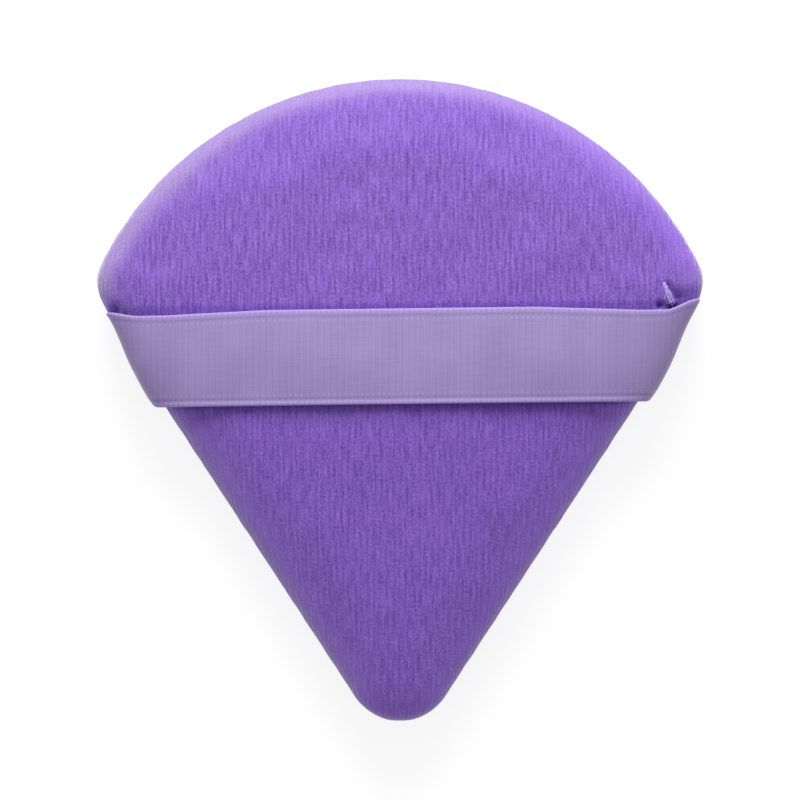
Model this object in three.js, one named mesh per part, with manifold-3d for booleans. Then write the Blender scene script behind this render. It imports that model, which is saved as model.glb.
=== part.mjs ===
// A triangular velour powder puff. Two velour covers are sewn together right side in, turned, filled
// with a foam core and closed by hand. A satin finger ribbon crosses the face, and its ends are
// caught between the turned-in allowances of the two side seams.
//
// Millimetres. The puff lies on its back: +X to the right, +Y towards the round end, +Z out of the
// face that the ribbon crosses. The origin is under the middle of the plan, on the resting surface.

import * as THREE from "three";
import { mergeVertices } from "three/addons/utils/BufferGeometryUtils.js";
import Module from "manifold-3d";

const wasm = await Module();
wasm.setup();

// Outline of the seam in plan
const puffLength = 80; // tip to the top of the round end
const roundEndRadius = 41.6;
const cornerRadius = 6.3;
const tipRadius = 6.7;
const sideAngleDegrees = 33.2; // each straight side, off the long axis

// Section of the stuffed puff, measured up from the face of the seam
const edgeWidth = 5; // plan width of the rounded edge
const edgeHeight = 4.1; // top of the rounded edge
const edgeFullness = 2.3; // 2 is an elliptical edge, and more is fuller
const crownRise = 1.4; // further rise to the middle of the face
const crownCentreY = 5;
const crownRadius = 28; // the crown turns from the outline's shape into a round of this size
const footDepth = 0.5; // how far the back is pressed flat where it rests
const foldRadius = 0.7; // where a cover turns in at the seam

// Velour covers
const velourThickness = 1.3;
const pressedThickness = 0.5; // where a tack presses the pile flat
const allowanceWidth = 5.3; // turned in all round at the seam
const allowanceThickness = 1.1; // the pile is pressed down here
const seamGap = 0.3; // between the two allowances
const fitGap = 0.3; // between pieces that touch

// Finger ribbon
const ribbonWidth = 12;
const ribbonThickness = 0.3;
const tuckShortfall = 0.7; // the caught ends stop this far short of the turned-in edge
const selvedgeWidth = 1;
const selvedgeThickness = 0.45;
const ribbonY = 5.5; // middle of the ribbon
const ribbonTiltDegrees = 0.7;
const ribbonLift = 1.1; // crown to the underside of the ribbon, which fingers lift further
const archFullness = 3; // 2 is an elliptical arch, and more is flatter on top
const shoulderHeight = 2.2; // above the seam, where the ribbon reaches furthest out
const seamBulge = 0.55; // ribbon outside the seam at its upper edge
const slackBulge = 0.7; // further bulge of its lower part, where the seam slants inwards
const slackLean = 0.42; // below 1 moves the slack towards the lower edge
const sideDrawIn = 1; // how far the ribbon and its tack pull each side seam in
const drawInRise = 4.6; // from the ribbon's middle up to where they pull most
const drawInReach = 6.5; // along the seam, to each side of there

// Sewing
const threadRadius = 0.18;
const stitchLength = 6.5;
const threadBend = 0.3; // how sharply a stitch turns
const seamLineInset = 2.6; // in the crook between a cover's wall and its allowance
const closingLength = 26; // seam left open for the foam, from the ribbon round the right corner
const ladderInset = 1.2;
const ladderLength = 3.4;
const ladderDepth = 0.35; // from the middle of the seam into each fold
const tackInset = 4;
const tackStitchLength = 2.7;
const tackLift = 0.6; // the visible stitch lies in the pile, above the pressed face
const tackMargin = 0.9; // from the ribbon's upper edge to the nearest needle hole beside it
const foamTrim = 4.4; // the foam stays clear of the stitches in the crook
const pinchDepth = 1.5; // how far a tack pulls the face down
const pinchRadius = 4.6;

// How finely the curved surfaces are cut into facets
const tipSteps = 3;
const cornerSteps = 6;
const roundEndSteps = 8;
const straightShares = [0.4, 0.68, 0.79, 0.9];
const crownShares = [0.2, 0.55];
const innerCrownShares = [0.35];
const edgeSteps = 4;
const liningSteps = 3;
const threadSides = 4;
const holeSides = 4;
const tuckSteps = 1;
const bendSteps = 4;
const archSteps = 13;
const ribbonShares = [0.35, 0.65];

// Values that follow from the sizes above
const side = THREE.MathUtils.degToRad(sideAngleDegrees);
const halfGap = seamGap / 2;
const crownLevel = edgeHeight + crownRise;
const seamZ = crownLevel + halfGap - footDepth;
const ribbonTilt = Math.tan(THREE.MathUtils.degToRad(ribbonTiltDegrees));
const threadClearance = threadRadius + fitGap;
const overrun = puffLength; // how far every cutting tool runs past what it cuts
const tipCentre = new THREE.Vector2(0, tipRadius - puffLength / 2);
const roundEndCentre = new THREE.Vector2(0, puffLength / 2 - roundEndRadius);

// The skins of the section. A skin lies peel inside the outer surface and starts base above the seam.
const outside = { peel: 0, base: foldRadius, shares: crownShares };
const lining = { peel: velourThickness, base: 0, shares: innerCrownShares };
const foamSkin = { peel: velourThickness + fitGap, base: 0, shares: innerCrownShares };

// Centre of the right corner's arc, which touches the straight side and, from inside, the round end.
function findCornerCentre() {
  const outwards = new THREE.Vector2(Math.cos(side), -Math.sin(side));
  const alongSide = new THREE.Vector2(Math.sin(side), Math.cos(side));
  const start = tipCentre.clone().addScaledVector(outwards, tipRadius - cornerRadius);
  const offset = start.clone().sub(roundEndCentre);
  const slide = offset.dot(alongSide);
  const reach = roundEndRadius - cornerRadius;
  const run = Math.sqrt(slide ** 2 - offset.lengthSq() + reach ** 2) - slide;
  return start.addScaledVector(alongSide, run);
}

// Points on an arc, with the outward normal turning from one direction to the other.
function arcPoints(centre, radius, from, to, steps) {
  return Array.from({ length: steps + 1 }, (_, i) => {
    const turn = THREE.MathUtils.lerp(from, to, i / steps);
    const normal = new THREE.Vector2(Math.cos(turn), Math.sin(turn));
    return { point: centre.clone().addScaledVector(normal, radius), normal };
  });
}

// The right half of the outline, from the tip up to the middle of the round end.
function rightHalfOutline() {
  const corner = findCornerCentre();
  const cornerTurn = Math.atan2(corner.y - roundEndCentre.y, corner.x);
  const tip = arcPoints(tipCentre, tipRadius, -Math.PI / 2, -side, tipSteps);
  const cornerArc = arcPoints(corner, cornerRadius, -side, cornerTurn, cornerSteps);
  const round = arcPoints(roundEndCentre, roundEndRadius, cornerTurn, Math.PI / 2, roundEndSteps);
  const low = tip.at(-1);
  const straight = straightShares.map((share) => ({
    point: low.point.clone().lerp(cornerArc[0].point, share),
    normal: low.normal.clone(),
  }));
  return [...tip, ...straight, ...cornerArc, ...round.slice(1)];
}

// How far the ribbon pulls the seam in at a height along the puff.
function drawIn(y) {
  const share = Math.min(Math.abs(y - ribbonY - drawInRise) / drawInReach, 1);
  return sideDrawIn * Math.cos((share * Math.PI) / 2) ** 2;
}

const rightHalf = rightHalfOutline().map(({ point, normal }) => ({
  point: point.clone().sub(new THREE.Vector2(drawIn(point.y), 0)),
  normal,
}));
const leftHalf = rightHalf
  .slice(1, -1)
  .reverse()
  .map(({ point, normal }) => ({
    point: new THREE.Vector2(-point.x, point.y),
    normal: new THREE.Vector2(-normal.x, normal.y),
  }));
const outline = [...rightHalf, ...leftHalf];

// The outline moved inwards, as plan points.
function insetOutline(inset) {
  return outline.map(({ point, normal }) => point.clone().addScaledVector(normal, -inset));
}

// Half the width of the seam's outline at a height along the puff.
function seamHalfWidth(y) {
  const above = rightHalf.findIndex(({ point }) => point.y > y);
  const [low, high] = [rightHalf[above - 1].point, rightHalf[above].point];
  return THREE.MathUtils.mapLinear(y, low.y, high.y, low.x, high.x);
}

// Level of a skin over the rounded edge, at a distance in from the outline.
function edgeLevel({ peel, base }, inset) {
  const share = THREE.MathUtils.clamp((inset - peel) / (edgeWidth - peel), 0, 1);
  const rise = (1 - (1 - share) ** edgeFullness) ** (1 / edgeFullness);
  return base + (edgeHeight - peel - base) * rise;
}

// The distance in from the outline at which a skin is seen from a given turn of its rounded edge.
function edgeInset({ peel }, turn) {
  return peel + (edgeWidth - peel) * (1 - Math.cos(turn) ** (2 / edgeFullness));
}

// The turn of a skin's rounded edge at which it reaches a level.
function edgeTurn({ peel, base }, level) {
  return Math.asin(((level - base) / (edgeHeight - peel - base)) ** (edgeFullness / 2));
}

// How far the two tacks pull a skin down at a plan point. The lining stops above the seam's
// stitches, and from there on the pile of the cover is pressed flat.
function pinch({ peel }, point, inset) {
  const away = Math.min(...tackCentres.map((centre) => centre.distanceTo(point)));
  const bump = pinchDepth * Math.cos((Math.min(away / pinchRadius, 1) * Math.PI) / 2) ** 2;
  const stitchTop = allowanceThickness + threadClearance + threadRadius;
  const room = Math.max(edgeLevel(lining, inset) - stitchTop - fitGap, 0);
  return Math.min(bump, peel > 0 ? room : room + velourThickness - pressedThickness);
}

// A plan point at a level above (up = 1) or below (up = -1) the seam.
function placed(point, up, level) {
  return new THREE.Vector3(point.x, point.y, seamZ + up * (halfGap + level));
}

// The same on a skin, which the tacks pull down in the face above the seam.
function onSkin(skin, point, up, level, inset) {
  return placed(point, up, up > 0 ? level - pinch(skin, point, inset) : level);
}

// A flat ring of points at one inset and one level.
function ring(inset, up, level) {
  return insetOutline(inset).map((point) => placed(point, up, level));
}

// A ring of plan points on the crown, at a share of the way from the rounded edge to the middle.
function crownOutline(share) {
  const centre = new THREE.Vector2(0, crownCentreY);
  if (share === 1) return [centre];
  return insetOutline(edgeWidth).map((point) => {
    const offset = point.sub(centre);
    const rounded = THREE.MathUtils.lerp(offset.length(), crownRadius, Math.min(2 * share, 1));
    return offset.setLength((1 - share) * rounded).add(centre);
  });
}

// Rings of a skin from the middle of the face out to a turn of its rounded edge.
function skinRings(skin, up, lastTurn, steps) {
  const crown = [1, ...skin.shares.toReversed()].map((share) => {
    const level = edgeHeight - skin.peel + crownRise * (1 - (1 - share) ** 2);
    return crownOutline(share).map((point) => onSkin(skin, point, up, level, edgeWidth));
  });
  const edge = Array.from({ length: steps + 1 }, (_, i) => {
    const turn = THREE.MathUtils.lerp(Math.PI / 2, lastTurn, i / steps);
    const inset = edgeInset(skin, turn);
    return insetOutline(inset).map((p) => onSkin(skin, p, up, edgeLevel(skin, inset), inset));
  });
  return [...crown, ...edge];
}

// A solid from points and triangles, turned the right way out.
function solidFrom(points, triangles) {
  const vertProperties = new Float32Array(points.flatMap(({ x, y, z }) => [x, y, z]));
  const outwards = new wasm.Manifold(
    new wasm.Mesh({ numProp: 3, vertProperties, triVerts: new Uint32Array(triangles.flat()) }),
  );
  if (outwards.volume() > 0) return outwards;
  const turned = new Uint32Array(triangles.flatMap(([a, b, c]) => [a, c, b]));
  return new wasm.Manifold(new wasm.Mesh({ numProp: 3, vertProperties, triVerts: turned }));
}

// A solid lofted through closed rings with as many points each, and a single point or a face at
// each end. Each four-sided facet is split along its shorter diagonal.
function loft(rings) {
  const starts = rings.map((_, i) => rings.slice(0, i).reduce((sum, r) => sum + r.length, 0));
  const triangles = [];
  rings.slice(1).forEach((next, i) => {
    const here = rings[i];
    const count = Math.max(here.length, next.length);
    for (let k = 0; k < count; k += 1) {
      const after = (k + 1) % count;
      const [a, b] = [starts[i] + k, starts[i] + after];
      const [c, d] = [starts[i + 1] + k, starts[i + 1] + after];
      if (here.length === 1) triangles.push([starts[i], c, d]);
      else if (next.length === 1) triangles.push([a, starts[i + 1], b]);
      else if (here[k].distanceTo(next[after]) < here[after].distanceTo(next[k]))
        triangles.push([a, c, d], [a, d, b]);
      else triangles.push([a, c, b], [b, c, d]);
    }
  });
  const fan = (start, count, turned) => {
    for (let k = 1; k + 1 < count; k += 1)
      triangles.push(turned ? [start, start + k + 1, start + k] : [start, start + k, start + k + 1]);
  };
  fan(starts[0], rings[0].length, false);
  fan(starts.at(-1), rings.at(-1).length, true);
  return solidFrom(rings.flat(), triangles);
}

// A solid from one of three.js's closed geometries.
function solidOf(geometry) {
  const bare = geometry.clone();
  bare.deleteAttribute("normal");
  bare.deleteAttribute("uv");
  const merged = mergeVertices(bare);
  return new wasm.Manifold(
    new wasm.Mesh({
      numProp: 3,
      vertProperties: merged.attributes.position.array,
      triVerts: new Uint32Array(merged.index.array),
    }),
  );
}

// A block between two corners.
function block(low, high) {
  const size = high.clone().sub(low);
  const middle = low.clone().add(high).multiplyScalar(1 / 2);
  return solidOf(new THREE.BoxGeometry(size.x, size.y, size.z).translate(middle.x, middle.y, middle.z));
}

// The plan inside an inset outline, as a column with a given height above and below the seam.
function column(inset, halfHeight) {
  const shape = new THREE.Shape(insetOutline(inset));
  const geometry = new THREE.ExtrudeGeometry(shape, { depth: 2 * halfHeight, bevelEnabled: false });
  return solidOf(geometry.translate(0, 0, seamZ - halfHeight));
}

// A path round the puff at one inset: its length, and the place and normal at a distance along it.
// It starts at the tip and runs up the right side first.
function seamPath(inset) {
  const points = insetOutline(inset);
  const lengths = points.map((p, i) => p.distanceTo(points[(i + 1) % points.length]));
  const length = lengths.reduce((sum, l) => sum + l, 0);
  const at = (distance) => {
    let left = THREE.MathUtils.euclideanModulo(distance, length);
    let i = 0;
    while (left > lengths[i] && i + 1 < points.length) {
      left -= lengths[i];
      i += 1;
    }
    const next = (i + 1) % points.length;
    return {
      point: points[i].clone().lerp(points[next], left / lengths[i]),
      normal: outline[i].normal.clone().lerp(outline[next].normal, left / lengths[i]).normalize(),
    };
  };
  // Distance at which the path passes a height on the right side.
  const distanceAt = (y) => {
    const i = points.findIndex((p, k) => p.y <= y && points[k + 1].y > y);
    const before = lengths.slice(0, i).reduce((sum, l) => sum + l, 0);
    return before + THREE.MathUtils.mapLinear(y, points[i].y, points[i + 1].y, 0, lengths[i]);
  };
  return { length, at, distanceAt };
}

// A thread as a solid: corners are { point, normal, z }, each turn is softened, and the section is
// mitred in the upright sheet that the thread lies in.
function threadSolid(corners, radius) {
  const placedCorners = corners.map(({ point, normal, z }) => ({
    position: new THREE.Vector3(point.x, point.y, z),
    across: new THREE.Vector3(normal.x, normal.y, 0),
  }));
  const route = placedCorners.flatMap((corner, i) => {
    const neighbours = [placedCorners[i - 1], placedCorners[i + 1]];
    if (neighbours.includes(undefined)) return [corner];
    return neighbours.map((other) => {
      const step = other.position.clone().sub(corner.position);
      step.setLength(Math.min(threadBend, step.length() / 2));
      return { position: step.add(corner.position), across: corner.across };
    });
  });
  const rings = route.map(({ position, across }, i) => {
    const came = position.clone().sub(route[Math.max(i - 1, 0)].position).normalize();
    const goes = route[Math.min(i + 1, route.length - 1)].position.clone().sub(position).normalize();
    const ahead = came.clone().add(goes).normalize();
    const mitre = Math.max(ahead.dot(came), ahead.dot(goes));
    const over = ahead.clone().cross(across).normalize().multiplyScalar(radius / mitre);
    const beside = across.clone().multiplyScalar(radius);
    return Array.from({ length: threadSides }, (_, k) => {
      const turn = (k / threadSides) * 2 * Math.PI;
      return position.clone().addScaledVector(beside, Math.cos(turn)).addScaledVector(over, Math.sin(turn));
    });
  });
  return loft(rings);
}

// A needle hole through whatever lies between two heights.
function needleHole({ point }, low, high) {
  const radius = threadClearance / Math.cos(Math.PI / holeSides);
  const geometry = new THREE.CylinderGeometry(radius, radius, high - low, holeSides);
  return solidOf(geometry.rotateX(Math.PI / 2).translate(point.x, point.y, (low + high) / 2));
}

// A thread that runs along a path and goes through the seam at each needle hole.
function runningStitch(path, from, to, pitch, reach) {
  const count = Math.max(Math.round((to - from) / pitch), 1);
  const legs = Array.from({ length: count + 1 }, (_, i) => path.at(from + ((to - from) * i) / count));
  const corners = legs.flatMap((leg, i) => {
    const up = i % 2 ? -1 : 1;
    return [-up, up].map((sign) => ({ ...leg, z: seamZ + sign * reach }));
  });
  return { legs, corners };
}

// Height along the puff of the first needle hole beside the ribbon's upper edge, on the right (1) or
// on the left (-1), where the tilt takes that edge up or down.
function besideRibbon(mirror) {
  const tilted = ribbonY + mirror * ribbonTilt * seamHalfWidth(ribbonY);
  return tilted + ribbonWidth / 2 + tackMargin;
}

// The needle holes of one tack: two through the pinched face, then two through the caught ribbon end.
const tackPath = seamPath(tackInset);
function tackLegs(mirror) {
  const start = tackPath.distanceAt(besideRibbon(mirror)) + tackStitchLength;
  return [0, 1, 2, 3].map((i) => {
    const { point, normal } = tackPath.at(start - i * tackStitchLength);
    return {
      point: new THREE.Vector2(mirror * point.x, point.y),
      normal: new THREE.Vector2(mirror * normal.x, normal.y),
    };
  });
}

const rightTack = tackLegs(1);
const leftTack = tackLegs(-1);
const tackCentres = [rightTack, leftTack].map(([first, second]) =>
  first.point.clone().lerp(second.point, 1 / 2),
);
const runHeight = halfGap + allowanceThickness + threadClearance;

// The long seam: it starts where the closing seam ends, runs round and takes in both ribbon ends.
const seamLine = seamPath(seamLineInset);
const seamStop = seamLine.distanceAt(besideRibbon(1));
const seamStitches = runningStitch(
  seamLine,
  seamStop + closingLength - seamLine.length,
  seamStop,
  stitchLength,
  runHeight,
);

// The closing seam: a ladder stitch that runs inside the two folds and crosses between them.
const ladderLine = seamPath(ladderInset);
const ladderStart = ladderLine.distanceAt(besideRibbon(1));
const ladderStitches = runningStitch(
  ladderLine,
  ladderStart,
  ladderStart + closingLength - stitchLength,
  ladderLength,
  ladderDepth,
);

// The route of one tack, from below the allowances over the face and on through the ribbon end.
function tackRoute([first, second, third, last]) {
  const faceLevel = edgeLevel(outside, tackInset);
  const faceZ = ({ point }) => onSkin(outside, point, 1, faceLevel, tackInset).z + tackLift;
  const [under, over] = [seamZ - runHeight, seamZ + runHeight];
  return [
    { ...first, z: under },
    { ...first, z: faceZ(first) },
    { ...second, z: faceZ(second) },
    { ...second, z: under },
    { ...third, z: under },
    { ...third, z: over },
    { ...last, z: over },
    { ...last, z: under },
  ];
}

const tackRoutes = [rightTack, leftTack].map(tackRoute);

// Every needle hole: the seam's go through the allowances, and a tack's first two through the face too.
function needleHoles() {
  const [low, high] = [seamZ - runHeight, seamZ + runHeight];
  const faceTop = seamZ + halfGap + edgeHeight + overrun;
  const seamHoles = seamStitches.legs.map((leg) => needleHole(leg, low, high));
  const tackHoles = [rightTack, leftTack].flatMap((legs) =>
    legs.map((leg, i) => needleHole(leg, low, i < 2 ? faceTop : high)),
  );
  return wasm.Manifold.union([...seamHoles, ...tackHoles]);
}

// The groove that the ladder stitch lies in, cut into both folds.
function ladderGroove() {
  const { legs } = ladderStitches;
  const longer = [legs.at(1), legs.at(0), legs.at(-1), legs.at(-2)].map(({ point }) => point);
  const beyond = (end, before) => {
    const step = end.point.clone().sub(before).setLength(threadClearance);
    return { point: step.add(end.point), normal: end.normal };
  };
  const places = [beyond(legs.at(0), longer[0]), ...legs, beyond(legs.at(-1), longer[3])];
  const reach = ladderDepth + threadClearance;
  const sections = places.map(({ point, normal }) =>
    [
      [-1, -1],
      [1, -1],
      [1, 1],
      [-1, 1],
    ].map(([across, up]) => {
      const edge = point.clone().addScaledVector(normal, across * threadClearance);
      return new THREE.Vector3(edge.x, edge.y, seamZ + up * reach);
    }),
  );
  return loft(sections);
}

// Room between the allowances for the two caught ends of the ribbon.
function ribbonSlots() {
  const reach = selvedgeThickness / 2 + fitGap;
  const innerX = seamHalfWidth(ribbonY - ribbonWidth / 2 - fitGap) - allowanceWidth / Math.cos(side) - fitGap;
  const slot = (mirror) => {
    const xs = [mirror * innerX, mirror * overrun];
    const [near, far] = [Math.min(...xs), Math.max(...xs)];
    const middle = ribbonY + mirror * ribbonTilt * seamHalfWidth(ribbonY);
    const halfWidth = ribbonWidth / 2 + fitGap;
    return block(
      new THREE.Vector3(near, middle - halfWidth, seamZ - reach),
      new THREE.Vector3(far, middle + halfWidth, seamZ + reach),
    );
  };
  return wasm.Manifold.union([slot(1), slot(-1)]);
}

// One velour cover: from the middle of its face over the edge, in along the allowance, and back
// along the lining.
function cover(up) {
  const crook = edgeTurn(lining, allowanceThickness);
  const wall = skinRings(outside, up, 0, edgeSteps);
  const fold = [
    ring(foldRadius * (1 - Math.SQRT1_2), up, foldRadius * (1 - Math.SQRT1_2)),
    ring(foldRadius, up, 0),
  ];
  const allowance = [ring(allowanceWidth, up, 0), ring(allowanceWidth, up, allowanceThickness)];
  const inside = skinRings(lining, up, crook, liningSteps).toReversed();
  return loft([...wall, ...fold, ...allowance, ...inside])
    .subtract(needleHoles())
    .subtract(ladderGroove())
    .subtract(ribbonSlots());
}

// The back cover is pressed flat where it rests.
function backCover() {
  const floor = block(
    new THREE.Vector3(-overrun, -overrun, -overrun),
    new THREE.Vector3(overrun, overrun, 0),
  );
  return cover(-1).subtract(floor);
}

// The foam core fills the covers, with a groove round its edge for the turned-in allowances.
function foamCore() {
  const face = skinRings(foamSkin, 1, 0, liningSteps);
  const back = skinRings(foamSkin, -1, 0, liningSteps).toReversed();
  const trimmed = loft([...face, ...back]).intersect(column(foamTrim, overrun));
  const grooveHeight = halfGap + allowanceThickness + fitGap;
  const grooveFloor = column(allowanceWidth + fitGap, overrun);
  const groove = column(0, grooveHeight).subtract(grooveFloor);
  const foot = block(
    new THREE.Vector3(-overrun, -overrun, -overrun),
    new THREE.Vector3(overrun, overrun, velourThickness + fitGap),
  );
  const roomRadius = threadClearance / Math.cos(Math.PI / threadSides);
  const room = tackRoutes.map((route) => {
    const ends = [0, route.length - 1];
    const longer = route.map((corner, i) => ({ ...corner, z: corner.z - (ends.includes(i) ? fitGap : 0) }));
    return threadSolid(longer, roomRadius);
  });
  return trimmed.subtract(groove).subtract(foot).subtract(wasm.Manifold.union(room));
}

// One lengthwise line of the ribbon, from its caught right end over the face to its caught left end.
// share is the place across the ribbon, from 0 at its lower edge to 1 at its upper edge.
function ribbonLine(share) {
  const archTop = seamZ + halfGap + crownLevel + ribbonLift + ribbonThickness / 2;
  const shoulderZ = seamZ + shoulderHeight;
  const y = ribbonY + (share - 1 / 2) * ribbonWidth;
  const bulge = seamBulge + slackBulge * Math.sin(Math.PI * share ** slackLean);
  const half = (mirror) => {
    const leaning = y + mirror * ribbonTilt * seamHalfWidth(y);
    const seam = seamHalfWidth(leaning);
    const tuck = (allowanceWidth - tuckShortfall) / Math.cos(side);
    const exit = seam + fitGap / 2;
    const shoulder = seam + bulge;
    const caught = Array.from({ length: tuckSteps }, (_, i) => ({
      x: THREE.MathUtils.lerp(seam - tuck, exit, i / tuckSteps),
      z: seamZ,
    }));
    const bend = Array.from({ length: bendSteps }, (_, i) => {
      const turn = ((i / bendSteps) * Math.PI) / 2;
      return {
        x: exit + (shoulder - exit) * Math.sin(turn),
        z: seamZ + shoulderHeight * (1 - Math.cos(turn)),
      };
    });
    const arch = Array.from({ length: archSteps }, (_, i) => {
      const turn = ((i / archSteps) * Math.PI) / 2;
      return {
        x: shoulder * Math.cos(turn) ** (2 / archFullness),
        z: shoulderZ + (archTop - shoulderZ) * Math.sin(turn) ** (2 / archFullness),
      };
    });
    return [...caught, ...bend, ...arch].map(
      ({ x, z }) => new THREE.Vector3(mirror * x, y + mirror * ribbonTilt * x, z),
    );
  };
  return [...half(1), new THREE.Vector3(0, y, archTop), ...half(-1).reverse()];
}

// The ribbon: lengthwise lines set across its width, thickened along the surface's own normal, with
// a thicker woven selvedge along each edge.
function ribbonSolid() {
  const selvedgeShare = selvedgeWidth / ribbonWidth;
  const shares = [0, selvedgeShare, ...ribbonShares, 1 - selvedgeShare, 1];
  const lines = shares.map(ribbonLine);
  const thickness = (i) => (i === 0 || i === shares.length - 1 ? selvedgeThickness : ribbonThickness);
  const skin = (sign) =>
    lines.map((line, i) =>
      line.map((point, k) => {
        const along = line[Math.min(k + 1, line.length - 1)].clone().sub(line[Math.max(k - 1, 0)]);
        const acrossFrom = lines[Math.max(i - 1, 0)][k];
        const across = lines[Math.min(i + 1, lines.length - 1)][k].clone().sub(acrossFrom);
        const normal = along.cross(across).normalize();
        return point.clone().addScaledVector(normal, (sign * thickness(i)) / 2);
      }),
    );
  const [front, back] = [skin(1), skin(-1)];
  const sections = front[0].map((_, k) => [
    ...front.map((line) => line[k]),
    ...back.map((line) => line[k]).toReversed(),
  ]);
  return loft(sections).subtract(needleHoles());
}

const velour = new THREE.MeshStandardMaterial({ color: "#8660c2", roughness: 0.95, metalness: 0 });
const satin = new THREE.MeshStandardMaterial({ color: "#a28fc6", roughness: 0.45, metalness: 0 });
const foam = new THREE.MeshStandardMaterial({ color: "#f2efe6", roughness: 1, metalness: 0 });
const sewingThread = new THREE.MeshStandardMaterial({ color: "#b9a2dc", roughness: 0.6, metalness: 0 });

// A named mesh from a solid.
function piece(name, solid, material) {
  const { vertProperties, triVerts } = solid.getMesh();
  const geometry = new THREE.BufferGeometry();
  geometry.setAttribute("position", new THREE.BufferAttribute(Float32Array.from(vertProperties), 3));
  geometry.setIndex(new THREE.BufferAttribute(Uint32Array.from(triVerts), 1));
  geometry.computeVertexNormals();
  const mesh = new THREE.Mesh(geometry, material);
  mesh.name = name;
  return mesh;
}

const powderPuff = new THREE.Group();
powderPuff.add(
  piece("front_cover", cover(1), velour),
  piece("back_cover", backCover(), velour),
  piece("foam_core", foamCore(), foam),
  piece("finger_ribbon", ribbonSolid(), satin),
  piece("seam_thread", threadSolid(seamStitches.corners, threadRadius), sewingThread),
  piece("closing_thread", threadSolid(ladderStitches.corners, threadRadius), sewingThread),
  piece("ribbon_tack_right", threadSolid(tackRoutes[0], threadRadius), sewingThread),
  piece("ribbon_tack_left", threadSolid(tackRoutes[1], threadRadius), sewingThread),
);

export default powderPuff;
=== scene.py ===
"""Builds the looks of a stuffed velour powder puff with a satin finger ribbon, round its CAD model."""
import math

import bpy
import numpy as np
from bpy.props import FloatProperty, FloatVectorProperty, PointerProperty
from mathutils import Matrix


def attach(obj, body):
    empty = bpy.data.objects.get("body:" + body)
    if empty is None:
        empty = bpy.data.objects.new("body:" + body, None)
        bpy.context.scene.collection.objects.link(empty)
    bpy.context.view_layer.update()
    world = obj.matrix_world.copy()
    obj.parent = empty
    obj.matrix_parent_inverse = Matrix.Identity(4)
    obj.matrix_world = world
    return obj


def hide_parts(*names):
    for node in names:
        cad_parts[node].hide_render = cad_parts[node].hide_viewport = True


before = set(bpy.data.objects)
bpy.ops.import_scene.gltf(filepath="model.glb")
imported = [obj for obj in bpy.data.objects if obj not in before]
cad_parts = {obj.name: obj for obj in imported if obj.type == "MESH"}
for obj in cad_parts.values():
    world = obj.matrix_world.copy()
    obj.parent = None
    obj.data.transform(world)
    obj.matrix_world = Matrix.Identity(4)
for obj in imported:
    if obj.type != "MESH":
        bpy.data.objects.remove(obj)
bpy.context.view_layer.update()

bl_info = {
    "name": "Powder puff",
    "version": (1, 0, 0),
    "blender": (4, 5, 0),
    "location": "3D View > Sidebar > Powder puff",
    "description": "Builds a stuffed velour powder puff with a satin finger ribbon",
    "category": "Add Mesh",
}

BODY = "root"
MM = 0.001
FULL_TURN = 2 * math.pi
QUARTER_TURN = math.pi / 2
TINY = 1e-9  # metres; keeps a division by no length from failing

# How finely the pieces are cut
AROUND = 640
CROWN_ROWS = 56
EDGE_ROWS = 24
FOLD_ROWS = 5
ALLOWANCE_ROWS = 4
LINING_ROWS = 26
FOAM_ROWS = 32
RIBBON_FINE = 6001  # points that measure the ribbon's length
RIBBON_ROWS = 420
RIBBON_COLUMNS = 30
SELVEDGE_COLUMNS = 10
PATH_STEP = 0.14 * MM
PLY_SIDES = 8
FIBRE_SIDES = 5
FIBRE_POINTS = 12

# Form of a skin. It is charted by depth: 0 in the middle of the face, CROWN_PART where the crown
# meets the rounded edge, and 1 at the seam.
CROWN_PART = 0.7
CROWN_EASE = 1.1  # how gently the crown rises from the rounded edge
CORNER_BLUR = 0.42  # how soon the crown loses the corners of the outline
CORNER_EASE = 0.9  # how late it starts to, from the seam inwards
WIDENS_FROM = 0.48  # upward part of the outline's normal where the rounded edge starts to widen
WIDENS_OVER = 0.42  # and how much more of it there is where the edge is widest
LUMP_PITCH = 11 * MM
LUMP_RISE = 0.07 * MM
LUMP_WAVES = 24
LUMP_SPREAD = 0.7, 1.4  # least and most waves in a pitch
LUMP_SEED = 5
PUCKER_DEPTH = 0.035 * MM
PUCKER_WAVES = ((46, 0.4), (61, 0.35), (83, 0.25))  # waves round the puff, and the share of each
PUCKER_START = 1.7  # where they start, in radians for each wave round the puff
PUCKER_FADE = 2.2  # how fast they fade out from the seam
FOLD_FADE = 3 * MM  # how far in from the seam the puckers end

# Dents that the tacks pull in the face, by side (1 right, -1 left): the two ends of each, out towards
# the seam and up from the tack's lower hole, its width and its share of the pinch. Millimetres.
TACK_DENTS = {
    1: (
        ((0.0, -0.5), (0.6, -0.45), 0.4, 1.0),
        ((-1.35, -0.35), (-1.35, -0.35), 0.42, 0.65),
        ((-0.35, 2.1), (0.85, 0.7), 0.42, 0.55),
        ((1.2, 0.4), (2.6, 0.8), 1.05, 0.4),
    ),
    -1: (
        ((2.35, -0.5), (2.35, 0.3), 0.42, 0.38),
        ((1.8, -0.6), (1.8, 0.0), 0.8, 0.22),
        ((1.15, -0.8), (1.15, -0.8), 0.4, 0.12),
    ),
}
DENT_LOSS = 0.6  # how much shallower a dent is inside, as a share of how far inside
# Painted shade round the tacks: the places of dark spots, in mm from the same hole.
TACK_SHADE_SPOTS = {1: ((0.35, -0.45), (-1.35, -0.35)), -1: ((2.35, -0.3), (1.3, -0.9))}

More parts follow.
